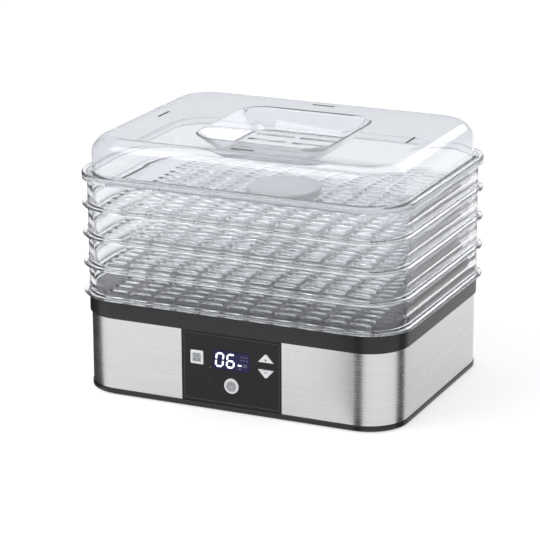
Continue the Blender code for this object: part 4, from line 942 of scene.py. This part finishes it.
slits = [slit(lid, x, y, half_x, half_y, LID_TOP, LID_TOP - LID_THICK)
         for x, y, half_x, half_y in ((SLIT_X, 0, SLIT_HALF, SLIT_HALF_LONG),
                                      (-SLIT_X, 0, SLIT_HALF, SLIT_HALF_LONG),
                                      (0, SLIT_Y, SLIT_HALF_LONG, SLIT_HALF),
                                      (0, -SLIT_Y, SLIT_HALF_LONG, SLIT_HALF))]
skin(lid, outside)
skin(lid, wall + rim + inside)
skin(lid, under)
frame_fill(lid, outside[0], upper)
frame_fill(lid, under[-1], lower)
frame_fill(lid, wall[0], outside[-1] + [e for pair in slits for e in pair[0]])
frame_fill(lid, inside[-1], under[0] + [e for pair in slits for e in pair[1]])
lid_clear = clear_plastic("lid_clear", (0.845, 0.858, 0.88), clarity=0.965, bend=1.38)
# Painted shade: the upright side walls of the four slits get an opaque dark grey, standing in for the shade
# inside these narrow openings in the clear lid.
painted_shade, _ = grained("slit_painted_shade", (0.10, 0.105, 0.11), (0.16, 0.165, 0.17), 0.4, 400)
made = ready("clear_lid", lid, lid_clear, "lid_body", "clear_plastic", "lid", angle=32)
made.data.materials.append(painted_shade)
# Faces that take the painted shade: the upright side walls of the slits, near the lid's top.
for face in made.data.polygons:
    x, y, z = face.center
    if (abs(face.normal.z) < 0.1 and z > LID_TOP - LID_THICK and
            (abs(abs(x) - SLIT_X) < 2 * SLIT_HALF and abs(y) < SLIT_HALF_LONG + MM
             or abs(abs(y) - SLIT_Y) < 2 * SLIT_HALF and abs(x) < SLIT_HALF_LONG + MM)):
        face.material_index = 1

# Feet and cord gland: black rubber. Four short round feet press into the pan's pockets, and the
# gland is a bush in the back wall with a collar outside it and a bead round its hole.
FOOT_RADIUS, FOOT_SOLE = 8 * MM, 6.4 * MM
GLAND_BORE, GLAND_NECK, GLAND_COLLAR = 3.6 * MM, 6 * MM, 9 * MM
GLAND_COLLAR_FROM, GLAND_COLLAR_TO = 3 * MM, 1.8 * MM

rubber, _ = grained("black_rubber", (0.018, 0.018, 0.018), (0.03, 0.03, 0.03), 0.72, 1200, bump=0.4,
                    depth=0.05)


def turned(outline, steps=40):
    mesh = bmesh.new()
    line = [mesh.verts.new((radius, 0, height)) for radius, height in outline]
    edges = [mesh.edges.new(pair) for pair in zip(line, line[1:])]
    bmesh.ops.spin(mesh, geom=line + edges, axis=(0, 0, 1), cent=(0, 0, 0), angle=TURN, steps=steps,
                   use_merge=True)
    return mesh


for number in range(1, 5):
    low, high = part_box(f"foot_{number}")
    foot = turned([(0, 0), (FOOT_SOLE, 0), (7.2 * MM, 0.15 * MM), (7.6 * MM, 0.5 * MM),
                   (FOOT_RADIUS, high.z), (0, high.z)])
    bmesh.ops.translate(foot, vec=((low.x + high.x) / 2, (low.y + high.y) / 2, 0), verts=foot.verts)
    ready(f"rubber_foot_{number}", foot, rubber, "base", "rubber", f"foot_{number}")
low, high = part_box("cord_gland")
long = high.y - low.y
gland = turned([(GLAND_BORE, 0), (4.4 * MM, 0), (GLAND_NECK, 1.0 * MM),
                (GLAND_NECK, long - GLAND_COLLAR_FROM), (GLAND_COLLAR, long - GLAND_COLLAR_FROM),
                (GLAND_COLLAR, long - GLAND_COLLAR_TO), (8.2 * MM, long - 0.6 * MM),
                (6.6 * MM, long - 0.2 * MM), (5.6 * MM, long - 0.5 * MM), (4.9 * MM, long),
                (3.9 * MM, long), (GLAND_BORE, long - 0.4 * MM), (GLAND_BORE, 0)])
bmesh.ops.transform(gland, matrix=Matrix.Rotation(-math.pi / 2, 4, "X"), verts=gland.verts)
middle = (low + high) / 2
bmesh.ops.translate(gland, vec=(middle.x, low.y, middle.z), verts=gland.verts)
ready("rubber_gland", gland, rubber, "base", "rubber", "cord_gland")

# Works inside the base keep the frame's own shapes and get their real finishes: zinc-plated
# sheet and screws, resistance wire on mica, green boards and cream plastic parts.
finishes = {
    "zinc_plate": grained("zinc_plate", (0.42, 0.43, 0.44), (0.60, 0.61, 0.62), 0.38, 260, bump=0.15,
                          metal=1.0)[0],
    "heater_wire": grained("heater_wire", (0.22, 0.17, 0.14), (0.38, 0.33, 0.29), 0.5, 800, bump=0.3,
                           metal=1.0)[0],
    "mica_sheet": grained("mica_sheet", (0.50, 0.40, 0.25), (0.66, 0.57, 0.42), 0.5, 420,
                          stretch=(1, 1, 0.3), bump=0.2)[0],
    "circuit_board": grained("circuit_board", (0.02, 0.13, 0.06), (0.04, 0.21, 0.10), 0.38, 240,
                             stretch=(1, 1, 3), bump=0.1)[0],
    "white_plastic": grained("cream_plastic", (0.70, 0.70, 0.66), (0.76, 0.76, 0.73), 0.45, 500)[0],
    "black_plastic": satin_black,
}
slots = {part["node"]: part["material_slot"] for part in frame["record"]["subparts"]}
for name, part in frame["nodes"].items():
    if part.hide_render or name == "status_led":
        continue
    part.data.materials.clear()
    part.data.materials.append(finishes[slots[name]])
